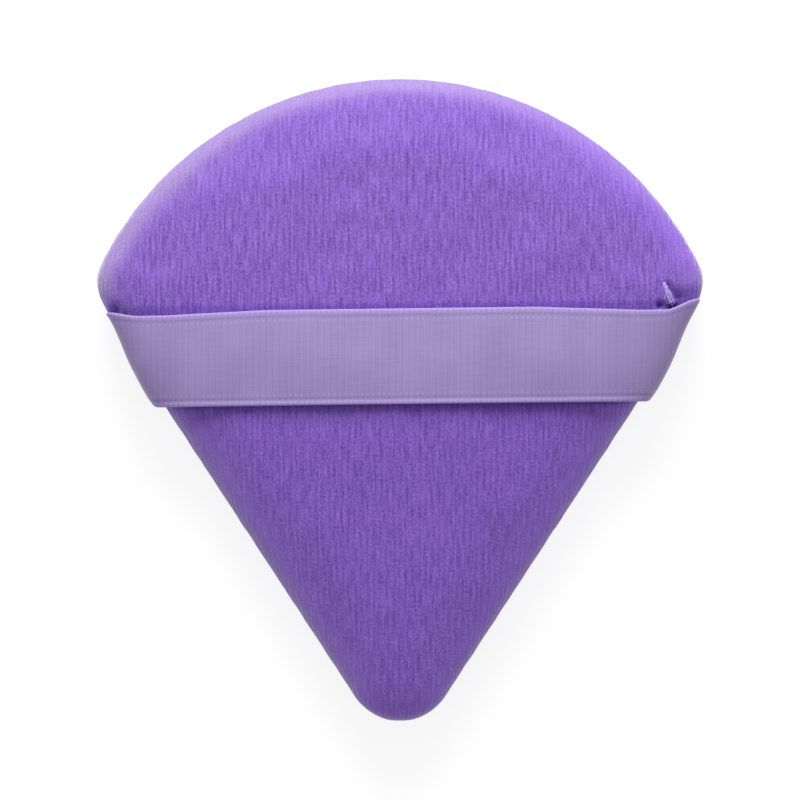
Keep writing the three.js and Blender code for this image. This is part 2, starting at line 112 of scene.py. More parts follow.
# Cloth simulation of a cover, made large because the solver is tuned for garments
CLOTH_AROUND = 160
CLOTH_ROWS = 36
CLOTH_SCALE = 12.5
CLOTH_FRAMES = 24
CLOTH_START = 0.93  # the skin starts this flat and swells
CLOTH_CAP = 0.45 * MM  # the most that a point may move from the sewn shape
CLOTH_BLUR = 1.6
CLOTH_PASSES = 3
CLOTH_RESTS = 0.02 * MM  # the back is held where it lies lower than this
CLOTH_SETTINGS = {
    "quality": 10,
    "mass": 0.4,
    "tension_stiffness": 40,
    "compression_stiffness": 40,
    "shear_stiffness": 20,
    "bending_stiffness": 3,
    "tension_damping": 25,
    "compression_damping": 25,
    "shear_damping": 25,
    "air_damping": 5,
    "use_pressure": True,
    "uniform_pressure_force": 2.0,
}

# Form of the ribbon. Each half of it is caught in the seam, bends out to its shoulder, and arches.
CAUGHT_PART = 0.12
BEND_PART = 0.06
ARCH_EASE = 1.5  # how slowly the arch leaves the shoulder
FREE_EASE = 0.5  # how soon past the shoulder the bow and the ripples start
DIP_FROM = 0.45  # share of the seam's half width where the upper edge starts to dip
DIP_OVER = 0.35
FLARE_FROM = 0.89  # the same where its right corner starts to rise
FLARE_OVER = 0.11
CORNER_FOLLOW = 0.55  # how much of the seam's widening the risen corner follows
RIPPLE_RISE = 0.12 * MM
RIPPLES = ((1.0, 9 * MM, 0.0, 0.7), (0.6, 4.6 * MM, 3.0, 2.0))  # share, length per radian, slant, start
BEAD_FULLNESS = 0.8  # below 1 the selvedge's bead is fuller than a half wave
BEAD_ROUND = 0.35  # share of the bead over which the ribbon's edge is rounded off

# The thread's two plies, as shares of its radius
PLY_PLACE = 0.48
PLY_RADIUS = 0.54

# Tacks: the thread passes through the same holes, side by side.
TACK_PASSES = {1: (-1, 0, 1), -1: (0,)}
TACK_FAN = 0.3 * MM  # how far apart the passes lie
TACK_SPREAD = np.array([0.25, 1, 1, 1])[:, None]  # the share of that at each hole
TACK_LIFT = {1: 0.9, -1: -4.0}  # how far over the face the visible stitch lies, in thread radii
TACK_SAG = 0.1 * MM  # the most that its ends lie below its middle
TACK_SINK = 0.5 * MM  # how far under a hole the thread turns upright
FACE_NEAR = 0.02 * MM  # keeps the nearest point of the face from weighing all

# Loose fibres on the right tack's stitches
FIBRES = 7
FIBRE_RADIUS = 0.04 * MM
FIBRE_TAPER = 0.85  # how much of that is gone at its end
FIBRE_ROOTS = 0.14 * MM * np.array([1, 2.2, 0.4])  # how far the starts scatter along X, Y and Z
FIBRE_RUNS = 0.4, 0.95  # least and most of the stitch that a fibre runs along
FIBRE_ENDS = 0.16 * MM  # how far its end scatters
FIBRE_LEVEL = 0.05 * MM  # least height of its end over the middle of the stitch
FIBRE_HUMP = 0.2 * MM
FIBRE_HUMPS = 0.4, 1.3  # least and most of that
FIBRE_SWAY = 0.12 * MM  # how far its hump scatters sideways
FIBRE_ASIDE = [0.3, 0.2, 1.0]  # any direction off its path
FIBRE_SEEDS = 12, 30  # of the ends and of the humps, for the middle pass
PASS_SEEDS = 5  # from one pass to the next

# Soft boxes: share of the light on a level surface, distance, elevation and azimuth in degrees from
# the round end towards the left, and width. The even sky gives the rest of the light.
SOFT_BOXES = {
    "key_box": (0.53, 0.37, 34.0, 1.0, 0.19),
    "overhead_box": (0.15, 0.9, 86.0, 0.0, 0.5),
}
FLOOR_LIFT = 0.75  # how much of the floor's white doesn't depend on the light, as the camera sees it
FLOOR_WHITE = 1.12  # strength of that white
FLOOR_REACH = 2.0
FLOOR_LEVEL = -0.02 * MM
CAMERA_HEIGHT = 0.56

# Settings that several shader nodes share
FLAT = {"noise_dimensions": "2D"}
SMOOTH = {"interpolation_type": "SMOOTHSTEP"}
RGB = {"data_type": "RGBA"}
FROM, TO, MIXED = 6, 7, 2  # the colour sockets of a Mix node, whose names aren't theirs alone
WAVE = FULL_TURN / 20  # a wave texture repeats every so much of its scaled coordinate


def linear(code):
    """A colour written as sRGB hex, as linear red, green, blue and alpha."""
    parts = [int(code[i : i + 2], 16) / 255 for i in (1, 3, 5)]
    return (*[c / 12.92 if c <= 0.04045 else ((c + 0.055) / 1.055) ** 2.4 for c in parts], 1.0)


def length_of(name, description, default):
    """A length in metres that the user can change."""
    return FloatProperty(name=name, description=description, default=default, min=0.0, unit="LENGTH")


def angle_of(name, description, degrees):
    """An angle that the user can change."""
    turn = math.radians(degrees)
    return FloatProperty(name=name, description=description, default=turn, subtype="ANGLE", unit="ROTATION")


def power_of(name, description, default, least):
    """An exponent that the user can change."""
    return FloatProperty(name=name, description=description, default=default, min=least)


def colour_of(name, description, code):
    """A colour that the user can change, from its sRGB hex value."""
    return FloatVectorProperty(
        name=name, description=description, default=linear(code), subtype="COLOR", size=4, min=0.0, max=1.0
    )


class PuffSizes(bpy.types.PropertyGroup):
    """Sizes of the stuffed puff."""

    length: length_of("Length", "From the tip to the top of the round end", 80 * MM)
    round_end_radius: length_of("Round end radius", "Radius of the round end in plan", 41.6 * MM)
    corner_radius: length_of("Corner radius", "Radius of the two side corners", 6.3 * MM)
    tip_radius: length_of("Tip radius", "Radius of the tip", 6.7 * MM)
    side_angle: angle_of("Side angle", "Each straight side, off the long axis", 33.2)
    edge_width: length_of("Edge width", "Plan width of the rounded edge", 5.6 * MM)
    round_edge_width: length_of("Round edge width", "The same along the round end", 12 * MM)
    edge_height: length_of("Edge height", "Top of the rounded edge above the seam", 4.6 * MM)
    edge_fullness: power_of("Edge fullness", "2 is an elliptical edge", 2.05, 1.5)
    crown_rise: length_of("Crown rise", "Further rise to the middle of the face", 0.9 * MM)
    crown_centre: length_of("Crown centre", "Middle of the crown along the puff", 5 * MM)
    foot_depth: length_of("Foot depth", "How far the back is pressed flat where it rests", 0.5 * MM)
    fold_radius: length_of("Fold radius", "Where a cover turns in at the seam", 0.8 * MM)
    seam_gap: length_of("Seam gap", "Between the two covers in the seam", 0.1 * MM)
    cut_gap: length_of("Cut gap", "Between the two covers in the CAD model", 0.3 * MM)
    velour_thickness: length_of("Velour thickness", "Cloth with its pile", 1.3 * MM)
    allowance_width: length_of("Allowance width", "Cloth turned in at the seam", 5.3 * MM)
    allowance_thickness: length_of("Allowance thickness", "Cloth with its pile pressed down", 1.1 * MM)
    foam_gap: length_of("Foam gap", "Between the lining and the foam", 0.3 * MM)
    foam_trim: length_of("Foam trim", "How far in from the seam the foam is cut", 4.4 * MM)


class RibbonSizes(bpy.types.PropertyGroup):
    """Sizes of the finger ribbon."""

    width: length_of("Width", "Width of the ribbon as it lies, nominally 12 mm", 11.8 * MM)
    thickness: length_of("Thickness", "Thickness of the satin", 0.3 * MM)
    selvedge_width: length_of("Selvedge width", "Width of the woven bead along each edge", 0.55 * MM)
    selvedge_rise: length_of("Selvedge rise", "How far the bead stands over the satin", 0.04 * MM)
    place: length_of("Place", "Middle of the ribbon along the puff", 5.4 * MM)
    tilt: angle_of("Tilt", "Rise to the right", 0.7)
    lift: length_of("Lift", "From the crown to the underside of the ribbon", 1.1 * MM)
    arch_fullness: power_of("Arch fullness", "2 is an elliptical arch", 3.0, 1.5)
    bow: length_of("Bow", "How far its middle line rises, and its edges sink, across its width", 0.16 * MM)
    edge_dip: length_of("Edge dip", "How far the upper edge comes down towards the tacks", 0.5 * MM)
    corner_rise: length_of("Corner rise", "How far the upper right corner goes up at the seam", 0.85 * MM)
    shoulder_height: length_of("Shoulder height", "Where the ribbon reaches furthest out", 2.2 * MM)
    seam_bulge: length_of("Seam bulge", "Ribbon outside the seam at its upper edge", 0.05 * MM)
    slack_bulge: length_of("Slack bulge", "Further bulge of its lower part", 1.15 * MM)
    slack_lean: power_of("Slack lean", "Below 1 the bulge is lower down", 0.3, 0.1)
    tuck_shortfall: length_of("Tuck shortfall", "From its caught ends to the turned-in edge", 0.7 * MM)
    draw_in: length_of("Draw in", "How far the ribbon and its tack pull each side seam in", 0.55 * MM)
    draw_rise: length_of("Draw rise", "From the ribbon's middle up to where they pull most", 4.7 * MM)
    draw_reach: length_of("Draw reach", "Along the seam, to each side of there", 6.5 * MM)


class SewingSizes(bpy.types.PropertyGroup):
    """Sizes of the stitches and of what they pull in."""

    thread_radius: length_of("Thread radius", "Radius of the twisted thread", 0.18 * MM)
    twist: length_of("Twist", "Length of one turn of the two plies", 1.3 * MM)
    stitch: length_of("Stitch", "Length of a seam stitch", 6.5 * MM)
    seam_inset: length_of("Seam inset", "Seam stitches, in from the outline", 2.6 * MM)
    closing: length_of("Closing seam", "Seam closed by hand after stuffing", 26 * MM)
    ladder_inset: length_of("Ladder inset", "Closing stitches, in from the outline", 1.2 * MM)
    ladder: length_of("Ladder stitch", "Length of a closing stitch", 3.4 * MM)
    ladder_depth: length_of("Ladder depth", "Closing stitches, into each fold", 0.35 * MM)
    tack_inset: length_of("Tack inset", "Ribbon tacks, in from the outline", 4 * MM)
    tack: length_of("Tack stitch", "Length of a tack stitch", 2.35 * MM)
    tack_margin: length_of("Tack margin", "From the ribbon to the nearest tack hole", 0.95 * MM)
    tack_lean: length_of("Tack lean", "How far the visible stitch slants out at its foot", 1.1 * MM)
    reach: length_of("Reach", "From the middle of the seam to the end of a stitch", 1.73 * MM)
    pinch: length_of("Pinch", "How far a tack pulls the face down", 1.5 * MM)


class PuffColours(bpy.types.PropertyGroup):
    """Colours of the cloth, the foam, the thread and the floor."""

    velour_deep: colour_of("Velour, deep", "Between the pile", "#6f4caa")
    velour_tips: colour_of("Velour, tips", "Pile tips that catch the light", "#9a74d8")
    # Painted rim light: the next two colours paint the rounded edge paler, the first where it faces the
    # light, the second a vivid purple where it faces away.
    velour_painted_highlight: colour_of("Velour, opened", "Sides of the pile, where it opens against the nap", "#b49fd0")
    velour_painted_rim_light: colour_of("Velour, turned", "Over the edge with the nap", "#a070f0")
    # Painted shade: the next colour darkens the face beside the ribbon's edges and round the tacks' holes.
    velour_painted_shade: colour_of("Velour, pressed", "Under the tacks and the ribbon's edges", "#47189c")
    # Painted shade: the next colour darkens the face below the ribbon.
    velour_painted_lower_shade: colour_of("Velour, flattened", "Below the ribbon, where the nap lies flatter", "#5f2ca5")
    satin: colour_of("Satin", "Face of the ribbon", "#a18ec4")
    satin_deep: colour_of("Satin, deep", "Between its threads", "#8a77b0")
    selvedge: colour_of("Selvedge", "Woven bead along each edge of the satin", "#b69ddf")
    thread: colour_of("Thread", "Sewing thread", "#a98fd8")
    foam: colour_of("Foam", "Open-cell foam", "#f2efe6")
    floor: colour_of("Floor", "Paper under the puff", "#f7f7f7")


# Surfaces


def outline(sizes, count):
    """The seam in plan: its points and outward normals, evenly spaced from the tip up the right side.

    The normal turns over the tip's arc, stays along the straight side, and turns over the corner's
    arc and the round end's arc. Each point is its arc's centre plus its radius along the normal. The
    left half is the right half mirrored. Then each side is drawn in at the ribbon.
    """
    side = sizes.side_angle
    tip = np.array([0, sizes.tip_radius - sizes.length / 2])
    top = np.array([0, sizes.length / 2 - sizes.round_end_radius])
    out = np.array([math.cos(side), -math.sin(side)])
    along = np.array([math.sin(side), math.cos(side)])
    start = tip + out * (sizes.tip_radius - sizes.corner_radius)
    slide = (start - top) @ along
    reach = sizes.round_end_radius - sizes.corner_radius
    run = math.sqrt(slide**2 - (start - top) @ (start - top) + reach**2) - slide
    corner = start + along * run
    turned = math.atan2(corner[1] - top[1], corner[0])
    parts = [
        sizes.tip_radius * (QUARTER_TURN - side),
        run,
        sizes.corner_radius * (turned + side),
        sizes.round_end_radius * (QUARTER_TURN - turned),
    ]
    ends = np.concatenate([[0], np.cumsum(parts)])
    at = np.linspace(0, ends[-1], count // 2 + 1)[:, None]
    turn = np.interp(at, ends, [-QUARTER_TURN, -side, -side, turned, QUARTER_TURN])
    normal = np.hstack([np.cos(turn), np.sin(turn)])
    straight = tip + along * np.clip(at - ends[1], 0, run)
    centre = np.where(at <= ends[2], straight, np.where(at <= ends[3], corner, top))
    upper = np.where(at <= ends[3], sizes.corner_radius, sizes.round_end_radius)
    point = centre + np.where(at <= ends[2], sizes.tip_radius, upper) * normal
    points, normals = [np.vstack([right, right[-2:0:-1] * [-1, 1]]) for right in (point, normal)]
    points[:, 0] -= np.sign(points[:, 0]) * draw_in(points[:, 1])
    return points, normals


def draw_in(y):
    """How far each side seam is pulled in at a height: a squared cosine round the ribbon's upper edge."""
    ribbon = bpy.context.scene.puff_ribbon
    share = np.clip(np.abs(y - ribbon.place - ribbon.draw_rise) / ribbon.draw_reach, 0, 1)
    return ribbon.draw_in * np.cos(share * QUARTER_TURN) ** 2


def seam_half_width(sizes, y):
    """Half the width of the seam's outline at a height along the puff."""
    half = outline(sizes, AROUND)[0][: AROUND // 2 + 1]
    return np.interp(y, half[:, 1], half[:, 0])


def levels(sizes):
    """Heights of the seam's middle and of the crown, which is the edge's height and the crown's rise
    above a cover's own side of the seam. The back is as high, less what is pressed flat."""
    crown = sizes.edge_height + sizes.crown_rise
    return crown + sizes.cut_gap / 2 - sizes.foot_depth, crown


def edge_widths(sizes, normals):
    """Plan width of the rounded edge: the same all round, but growing over the round end, past the
    corners' arcs, as its normal turns up."""
    share = np.clip((normals[:, 1] - WIDENS_FROM) / WIDENS_OVER, 0, 1)
    return sizes.edge_width + (sizes.round_edge_width - sizes.edge_width) * share**2 * (3 - 2 * share)


def skin(sizes, depth, count, peel, base, trim=0.0):
    """Plan points, levels and flat-cloth places of a skin that lies peel inside the outer surface.

    The crown's rings are the inset outline, blurred along its own length, the more the further they
    are from the seam, and drawn together towards the crown's centre. The rounded edge is a quarter of
    a superellipse from there out to the seam, or upright where it would come nearer than trim to the
    outline. On the flat cloth a point lies where the crown has it, or beyond the crown's rim along
    the normal by its distance over the edge.
    """
    points, normals = outline(sizes, count)
    width = edge_widths(sizes, normals)
    rim = points - normals * width[:, None]
    share = np.clip(1 - depth / CROWN_PART, 0, 1)[:, None]
    turn = (1 - np.clip((depth - CROWN_PART) / (1 - CROWN_PART), 0, 1))[:, None] * QUARTER_TURN
    power = 2 / sizes.edge_fullness
    wave = np.abs(np.fft.fftfreq(count, 1 / count))
    soft = CORNER_BLUR * (1 - depth[:, None]) ** CORNER_EASE
    blur = np.exp(-((np.maximum(wave - 1, 0) * soft) ** 2) / 2)
    ring = np.fft.ifft(np.fft.fft(rim @ [1, 1j]) * blur, axis=-1)
    centre = 1j * sizes.crown_centre
    ring = centre + (1 - share) * (ring - centre)
    crown = np.stack([ring.real, ring.imag], -1)
    out = np.minimum((width - peel) * np.cos(turn) ** power, width - trim)
    out = np.where(share > 0, 0, out)
    rise = (sizes.edge_height - peel - base) * np.sin(turn) ** power
    level = base + rise + sizes.crown_rise * (1 - (1 - share**CROWN_EASE) ** 2)
    plan = crown + out[..., None] * normals
    steps = np.hypot(np.diff(out, axis=0, prepend=out[:1]), np.diff(rise, axis=0, prepend=rise[:1]))
    flat = crown + np.cumsum(steps, 0)[..., None] * normals
    return plan, np.broadcast_to(level, plan.shape[:2]), flat


def placed(sizes, plan, level, up):
    """Points from plan points and levels above (up = 1) or below (up = -1) the seam."""
    height = levels(sizes)[0] + up * (sizes.cut_gap / 2 + level)
    return np.concatenate([plan, height[..., None]], -1)


def lumps(plan, seed):
    """Soft lumps at plan points: cosines about a pitch long in random directions, added up."""
    draw = np.random.default_rng(seed)
    turn, phase = draw.uniform(0, FULL_TURN, (2, LUMP_WAVES))
    number = FULL_TURN / LUMP_PITCH * draw.uniform(*LUMP_SPREAD, LUMP_WAVES)
    vectors = np.stack([np.cos(turn), np.sin(turn)]) * number
    return np.cos(plan @ vectors + phase).sum(-1) / math.sqrt(LUMP_WAVES)


def cubic(depth, rows):
    """Rows at evenly spaced depths from 0 to 1, read at other depths along Catmull-Rom curves."""
    place = depth * (len(rows) - 1)
    left = np.clip(np.floor(place).astype(int), 0, len(rows) - 2)
    t = (place - left)[:, None, None]
    a, b, c, d = [rows[np.clip(left + k, 0, len(rows) - 1)] for k in (-1, 0, 1, 2)]
    return b + t / 2 * (c - a + t * (2 * a - 5 * b + 4 * c - d + t * (3 * (b - c) + d - a)))


def ring_faces(rows, count, start, pole_start, pole_end):
    """Quads between neighbouring closed rings, and triangles to a pole at each end."""
    k = np.arange(count)
    after = (k + 1) % count
    r = np.arange(rows - 1)[:, None] * count + start
    quads = np.stack([r + k, r + count + k, r + count + after, r + after], -1).reshape(-1, 4)
    last = start + (rows - 1) * count
    first_fan = np.stack([np.full(count, pole_start), start + k, start + after], -1)
    last_fan = np.stack([np.full(count, pole_end), last + after, last + k], -1)
    return quads.tolist() + first_fan.tolist() + last_fan.tolist()


def make_piece(name, points, faces, material, places=None):
    """A smooth mesh object at the origin, with the flat-cloth places of its points as a UV map."""
    old = bpy.data.objects.get(name)
    if old:
        bpy.data.objects.remove(old)
    mesh = bpy.data.meshes.new(name)
    mesh.from_pydata(points.tolist(), [], faces)
    mesh.update()
    if mesh.validate():
        raise RuntimeError(f"{name}: the mesh has faces that aren't valid")
    mesh.polygons.foreach_set("use_smooth", np.ones(len(mesh.polygons), bool))
    if places is not None:
        corners = np.empty(len(mesh.loops), np.int32)
        mesh.loops.foreach_get("vertex_index", corners)
        mesh.uv_layers.new(name="cloth").uv.foreach_set("vector", places[corners].ravel())
    piece = bpy.data.objects.new(name, mesh)
    bpy.context.scene.collection.objects.link(piece)
    if material:
        mesh.materials.append(material)
    return piece


def shell(name, rows, first, last, up, material, places, place_poles):
    """A closed shell from rings of points and a pole at each end, turned the right way out."""
    points = np.vstack([rows.reshape(-1, 3), first, last])
    faces = ring_faces(len(rows), rows.shape[1], 0, len(points) - 2, len(points) - 1)
    if up < 0:
        faces = [face[::-1] for face in faces]
    return make_piece(name, points, faces, material, np.vstack([places.reshape(-1, 2), *place_poles]))


# Covers


def seam_path(sizes, inset):
    """A path round the puff at one inset: points, normals, distance gone at each, and its length."""
    points, normals = outline(sizes, AROUND)
    points = points - normals * inset
    steps = np.linalg.norm(np.roll(points, -1, 0) - points, axis=1)
    return points, normals, np.concatenate([[0], np.cumsum(steps)[:-1]]), steps.sum()


def along_path(points, normals, gone, at):
    """Places and normals at distances along a path."""
    place, normal = [
        np.stack([np.interp(at, gone, known[:, i]) for i in (0, 1)], -1) for known in (points, normals)
    ]
    return place, normal / np.linalg.norm(normal, axis=1, keepdims=True)


def beside_ribbon(sizes, mirror, points, gone):
    """Distance gone along a path, up from the tip, to the height of one tack's hole nearest to the
    ribbon: the ribbon's middle at the seam, half its width and the margin, added up."""
    ribbon = bpy.context.scene.puff_ribbon
    tilted = ribbon.place + mirror * math.tan(ribbon.tilt) * seam_half_width(sizes, ribbon.place)
    height = tilted + ribbon.width / 2 + bpy.context.scene.puff_sewing.tack_margin
    half = slice(0, AROUND // 2)
    return np.interp(height, points[half, 1], gone[half])


def tack_legs(sizes, mirror):
    """Plan points and normals of a tack's four needle holes: two through the face, two in the seam.
    They step down along the path, and the visible stitch slants."""
    sewing = bpy.context.scene.puff_sewing
    points, normals, gone, _ = seam_path(sizes, sewing.tack_inset)
    start = beside_ribbon(sizes, mirror, points, gone) + sewing.tack
    place, normal = along_path(points, normals, gone, start - np.arange(4) * sewing.tack)
    place[:2] += sewing.tack_lean * np.array([[-1.0], [1.0]]) * normal[:2]
    return place * [mirror, 1], normal * [mirror, 1]


def tack_pull(sizes, plan):
    """How far the tacks pull the face down at plan points: each dent falls off as a bell curve of the
    distance from the line between its two ends."""
    drop = np.zeros(plan.shape[:-1])
    for mirror, dents in TACK_DENTS.items():
        foot = tack_legs(sizes, mirror)[0][1]
        for start, end, width, share in dents:
            start, end = [foot + np.array(place) * [mirror * MM, MM] for place in (start, end)]
            run = end - start
            along = np.clip((plan - start) @ run / max(run @ run, TINY**2), 0, 1)[..., None]
            away = np.linalg.norm(plan - start - along * run, axis=-1)
            drop += share * np.exp(-((away / (width * MM)) ** 2))
    return bpy.context.scene.puff_sewing.pinch * drop


def swell(sizes, up):
    """How the cloth of a cover settles when it is stuffed, from a cloth simulation.

    The outer skin is held at its seam and, on the back, where it rests, and swells under an even
    pressure from a flatter start. Returns how far each point moved from the sewn shape, as rows of
    depth from 0 to 1 by places round the puff.
    """
    depth = np.linspace(0, 1, CLOTH_ROWS + 1)
    base = sizes.fold_radius + (sizes.seam_gap - sizes.cut_gap) / 2
    plan, level, _ = skin(sizes, depth, CLOTH_AROUND, 0, base)
    sewn = placed(sizes, plan, level, up)
    if up < 0:
        sewn[..., 2] = np.maximum(sewn[..., 2], 0)
    seam = sewn[-1:, :, 2]
    start = sewn.copy()
    start[..., 2] = seam + (sewn[..., 2] - seam) * CLOTH_START
    rows = start[1:]
    points = np.vstack([rows.reshape(-1, 3), start[0, 0]]) * CLOTH_SCALE
    pole = len(points) - 1
    faces = ring_faces(len(rows), CLOTH_AROUND, 0, pole, pole)[: -CLOTH_AROUND]
    if up < 0:
        faces = [face[::-1] for face in faces]
    cloth = make_piece("cloth_pattern", points, faces, None)
    held = cloth.vertex_groups.new(name="held")
    held.add(list(range(pole - CLOTH_AROUND, pole)), 1.0, "REPLACE")
    if up < 0:
        rests = np.flatnonzero(sewn[1:, :, 2].ravel() < CLOTH_RESTS)
        held.add([*rests.tolist(), pole], 1.0, "REPLACE")
    modifier = cloth.modifiers.new("cloth", "CLOTH")
    for key, value in CLOTH_SETTINGS.items():
        setattr(modifier.settings, key, value)
    modifier.settings.vertex_group_mass = held.name
    modifier.settings.effector_weights.gravity = 0
    modifier.collision_settings.use_collision = False
    modifier.point_cache.frame_end = CLOTH_FRAMES
    scene = bpy.context.scene
    for number in range(1, CLOTH_FRAMES + 1):
        scene.frame_set(number)
    settled = cloth.evaluated_get(bpy.context.evaluated_depsgraph_get()).data
    places = np.empty(len(settled.vertices) * 3)
    settled.vertices.foreach_get("co", places)
    places = places.reshape(-1, 3) / CLOTH_SCALE
    bpy.data.objects.remove(cloth)
    scene.frame_set(1)
    middle = np.broadcast_to(places[-1], (1, CLOTH_AROUND, 3))
    moved = evened(np.concatenate([middle, places[:-1].reshape(rows.shape)]) - sewn)
    far = np.linalg.norm(moved, axis=-1, keepdims=True)
    print(f"cloth, side {up}: moved {far.mean() / MM:.2f} mm on average, {far.max() / MM:.2f} mm at most")
    return moved * np.where(far > 0, CLOTH_CAP * np.tanh(far / CLOTH_CAP) / np.maximum(far, TINY), 0)


def evened(moved):
    """The movement with its sharp creases taken out, as thick pile does: blurred over CLOTH_BLUR places
    round the puff, and with binomial weights over neighbouring rows."""
    count = moved.shape[1]
    wave = np.fft.fftfreq(count, 1 / count)[None, :, None]
    blur = np.exp(-((FULL_TURN * wave * CLOTH_BLUR / count) ** 2) / 2)
    moved = np.fft.ifft(np.fft.fft(moved, axis=1) * blur, axis=1).real
    for _ in range(CLOTH_PASSES):
        inner = (moved[:-2] + 2 * moved[1:-1] + moved[2:]) / 4
        moved = np.concatenate([moved[:1], inner, moved[-1:]])
    return moved


def settle(moved, depth):
    """The simulated movement at other depths and at more places round the puff: the waves round it
    stay, and the rows are read along curves."""
    if moved is None:
        return np.zeros((len(depth), AROUND, 3))
    waves = np.fft.rfft(moved, axis=1)
    return cubic(depth, np.fft.irfft(waves, AROUND, axis=1) * AROUND / moved.shape[1])


def puckers(depth):
    """How far the stitches draw the cloth in near the seam, along the outline's normal: waves of a few
    stitches' length that fade out over the rounded edge."""
    u = np.arange(AROUND) / AROUND * FULL_TURN
    wave = sum(np.cos(n * u + PUCKER_START * n) * share for n, share in PUCKER_WAVES)
    fade = np.clip((depth - CROWN_PART) / (1 - CROWN_PART), 0, 1) ** PUCKER_FADE
    return PUCKER_DEPTH * fade[:, None] * wave


def dressed_skin(sizes, depth, up, moved, peel, base, trim=0.0):
    """A skin of the stuffed puff: sewn, settled, softly lumpy, puckered at the seam, and pulled in at
    the tacks on the face. The back lies flat where it rests."""
    _, normals = outline(sizes, AROUND)
    plan, level, flat = skin(sizes, depth, AROUND, peel, base, trim)
    points = placed(sizes, plan, level, up) + settle(moved, depth)
    inner = np.clip((1 - depth) / (1 - CROWN_PART), 0, 1)[:, None]
    points[..., 2] += up * LUMP_RISE * inner * lumps(plan, LUMP_SEED + up)
    points[..., :2] += puckers(depth)[..., None] * normals
    if up > 0:
        points[..., 2] -= np.maximum(tack_pull(sizes, plan) - peel * DENT_LOSS, 0)
    else:
        points[..., 2] = np.maximum(points[..., 2], peel)
    return points, flat


def depth_at(sizes, peel, level):
    """Depth at which a skin that starts in the seam's own level comes down to a level: the edge's
    superellipse, solved for its turn."""
    turn = math.asin((level / (sizes.edge_height - peel)) ** (sizes.edge_fullness / 2))
    return CROWN_PART + (1 - CROWN_PART) * (1 - turn / QUARTER_TURN)


def make_cover(sizes, up, name, material):
    """A velour cover: over the face and the rounded edge, round the fold in a quarter circle, in along
    the allowance, and back along the lining."""
    moved = swell(sizes, up)
    points, normals = outline(sizes, AROUND)
    crown = np.linspace(0, CROWN_PART, CROWN_ROWS + 1)
    edge = np.linspace(CROWN_PART, 1, EDGE_ROWS + 1)[1:]
    sunk = (sizes.seam_gap - sizes.cut_gap) / 2
    base = sizes.fold_radius + sunk
    outer, outer_flat = dressed_skin(sizes, np.concatenate([crown, edge]), up, moved, 0, base)

    bend = np.linspace(0, QUARTER_TURN, FOLD_ROWS + 1)[1:]
    inset = sizes.fold_radius * (1 - np.cos(bend))
    level = sunk + sizes.fold_radius * (1 - np.sin(bend))
    run = np.linspace(sizes.fold_radius, sizes.allowance_width, ALLOWANCE_ROWS + 1)[1:]
    inset = np.concatenate([inset, run, run[-1:]])
    level = np.concatenate([level, np.full(ALLOWANCE_ROWS, sunk), [sizes.allowance_thickness]])
    inwards = points - inset[:, None, None] * normals
    turned_in = placed(sizes, inwards, np.broadcast_to(level[:, None], (len(level), AROUND)), up)
    over = np.cumsum(np.hypot(np.diff(inset, prepend=0), np.diff(level, prepend=base)))
    fade = np.clip(1 - over / FOLD_FADE, 0, 1)[:, None, None]
    turned_in[..., :2] += fade * puckers(np.ones(1))[..., None] * normals

    crook = depth_at(sizes, sizes.velour_thickness, sizes.allowance_thickness)
    depth = np.linspace(crook, 0, LINING_ROWS + 1)
    lining, lining_flat = dressed_skin(sizes, depth, up, moved, sizes.velour_thickness, 0)
    rows = np.concatenate([outer[1:], turned_in, lining[:-1]])
    allowance_flat = outer_flat[-1] + over[:, None, None] * normals
    flat = np.concatenate([outer_flat[1:], allowance_flat, lining_flat[:-1]])
    poles = outer_flat[0, :1], lining_flat[-1, :1]
    return shell(name, rows, outer[0, :1], lining[-1, :1], up, material, flat, poles), moved


def make_foam(sizes, moved, name, material):
    """The foam core: the lining's shape a gap further in, cut off square at the turned-in allowances,
    with a groove round its edge that takes them."""
    peel = sizes.velour_thickness + sizes.foam_gap
    points, normals = outline(sizes, AROUND)
    groove = sizes.allowance_thickness + sizes.foam_gap
    depth = np.linspace(0, depth_at(sizes, peel, groove), FOAM_ROWS)
    (face, face_flat), (back, back_flat) = [
        dressed_skin(sizes, depth, up, moved[up], peel, 0, sizes.foam_trim) for up in (1, -1)
    ]
    bottom = points - (sizes.allowance_width + sizes.foam_gap) * normals
    walls = [placed(sizes, bottom, np.full(AROUND, groove), up)[None] for up in (1, -1)]
    rows = np.concatenate([face[1:], *walls, back[:0:-1]])
    inner = np.broadcast_to(face_flat[-1], (2, AROUND, 2))
    flat = np.concatenate([face_flat[1:], inner, back_flat[:0:-1]])
    poles = face_flat[0, :1], back_flat[0, :1]
    return shell(name, rows, face[0, :1], back[0, :1], 1, material, flat, poles)


# Ribbon


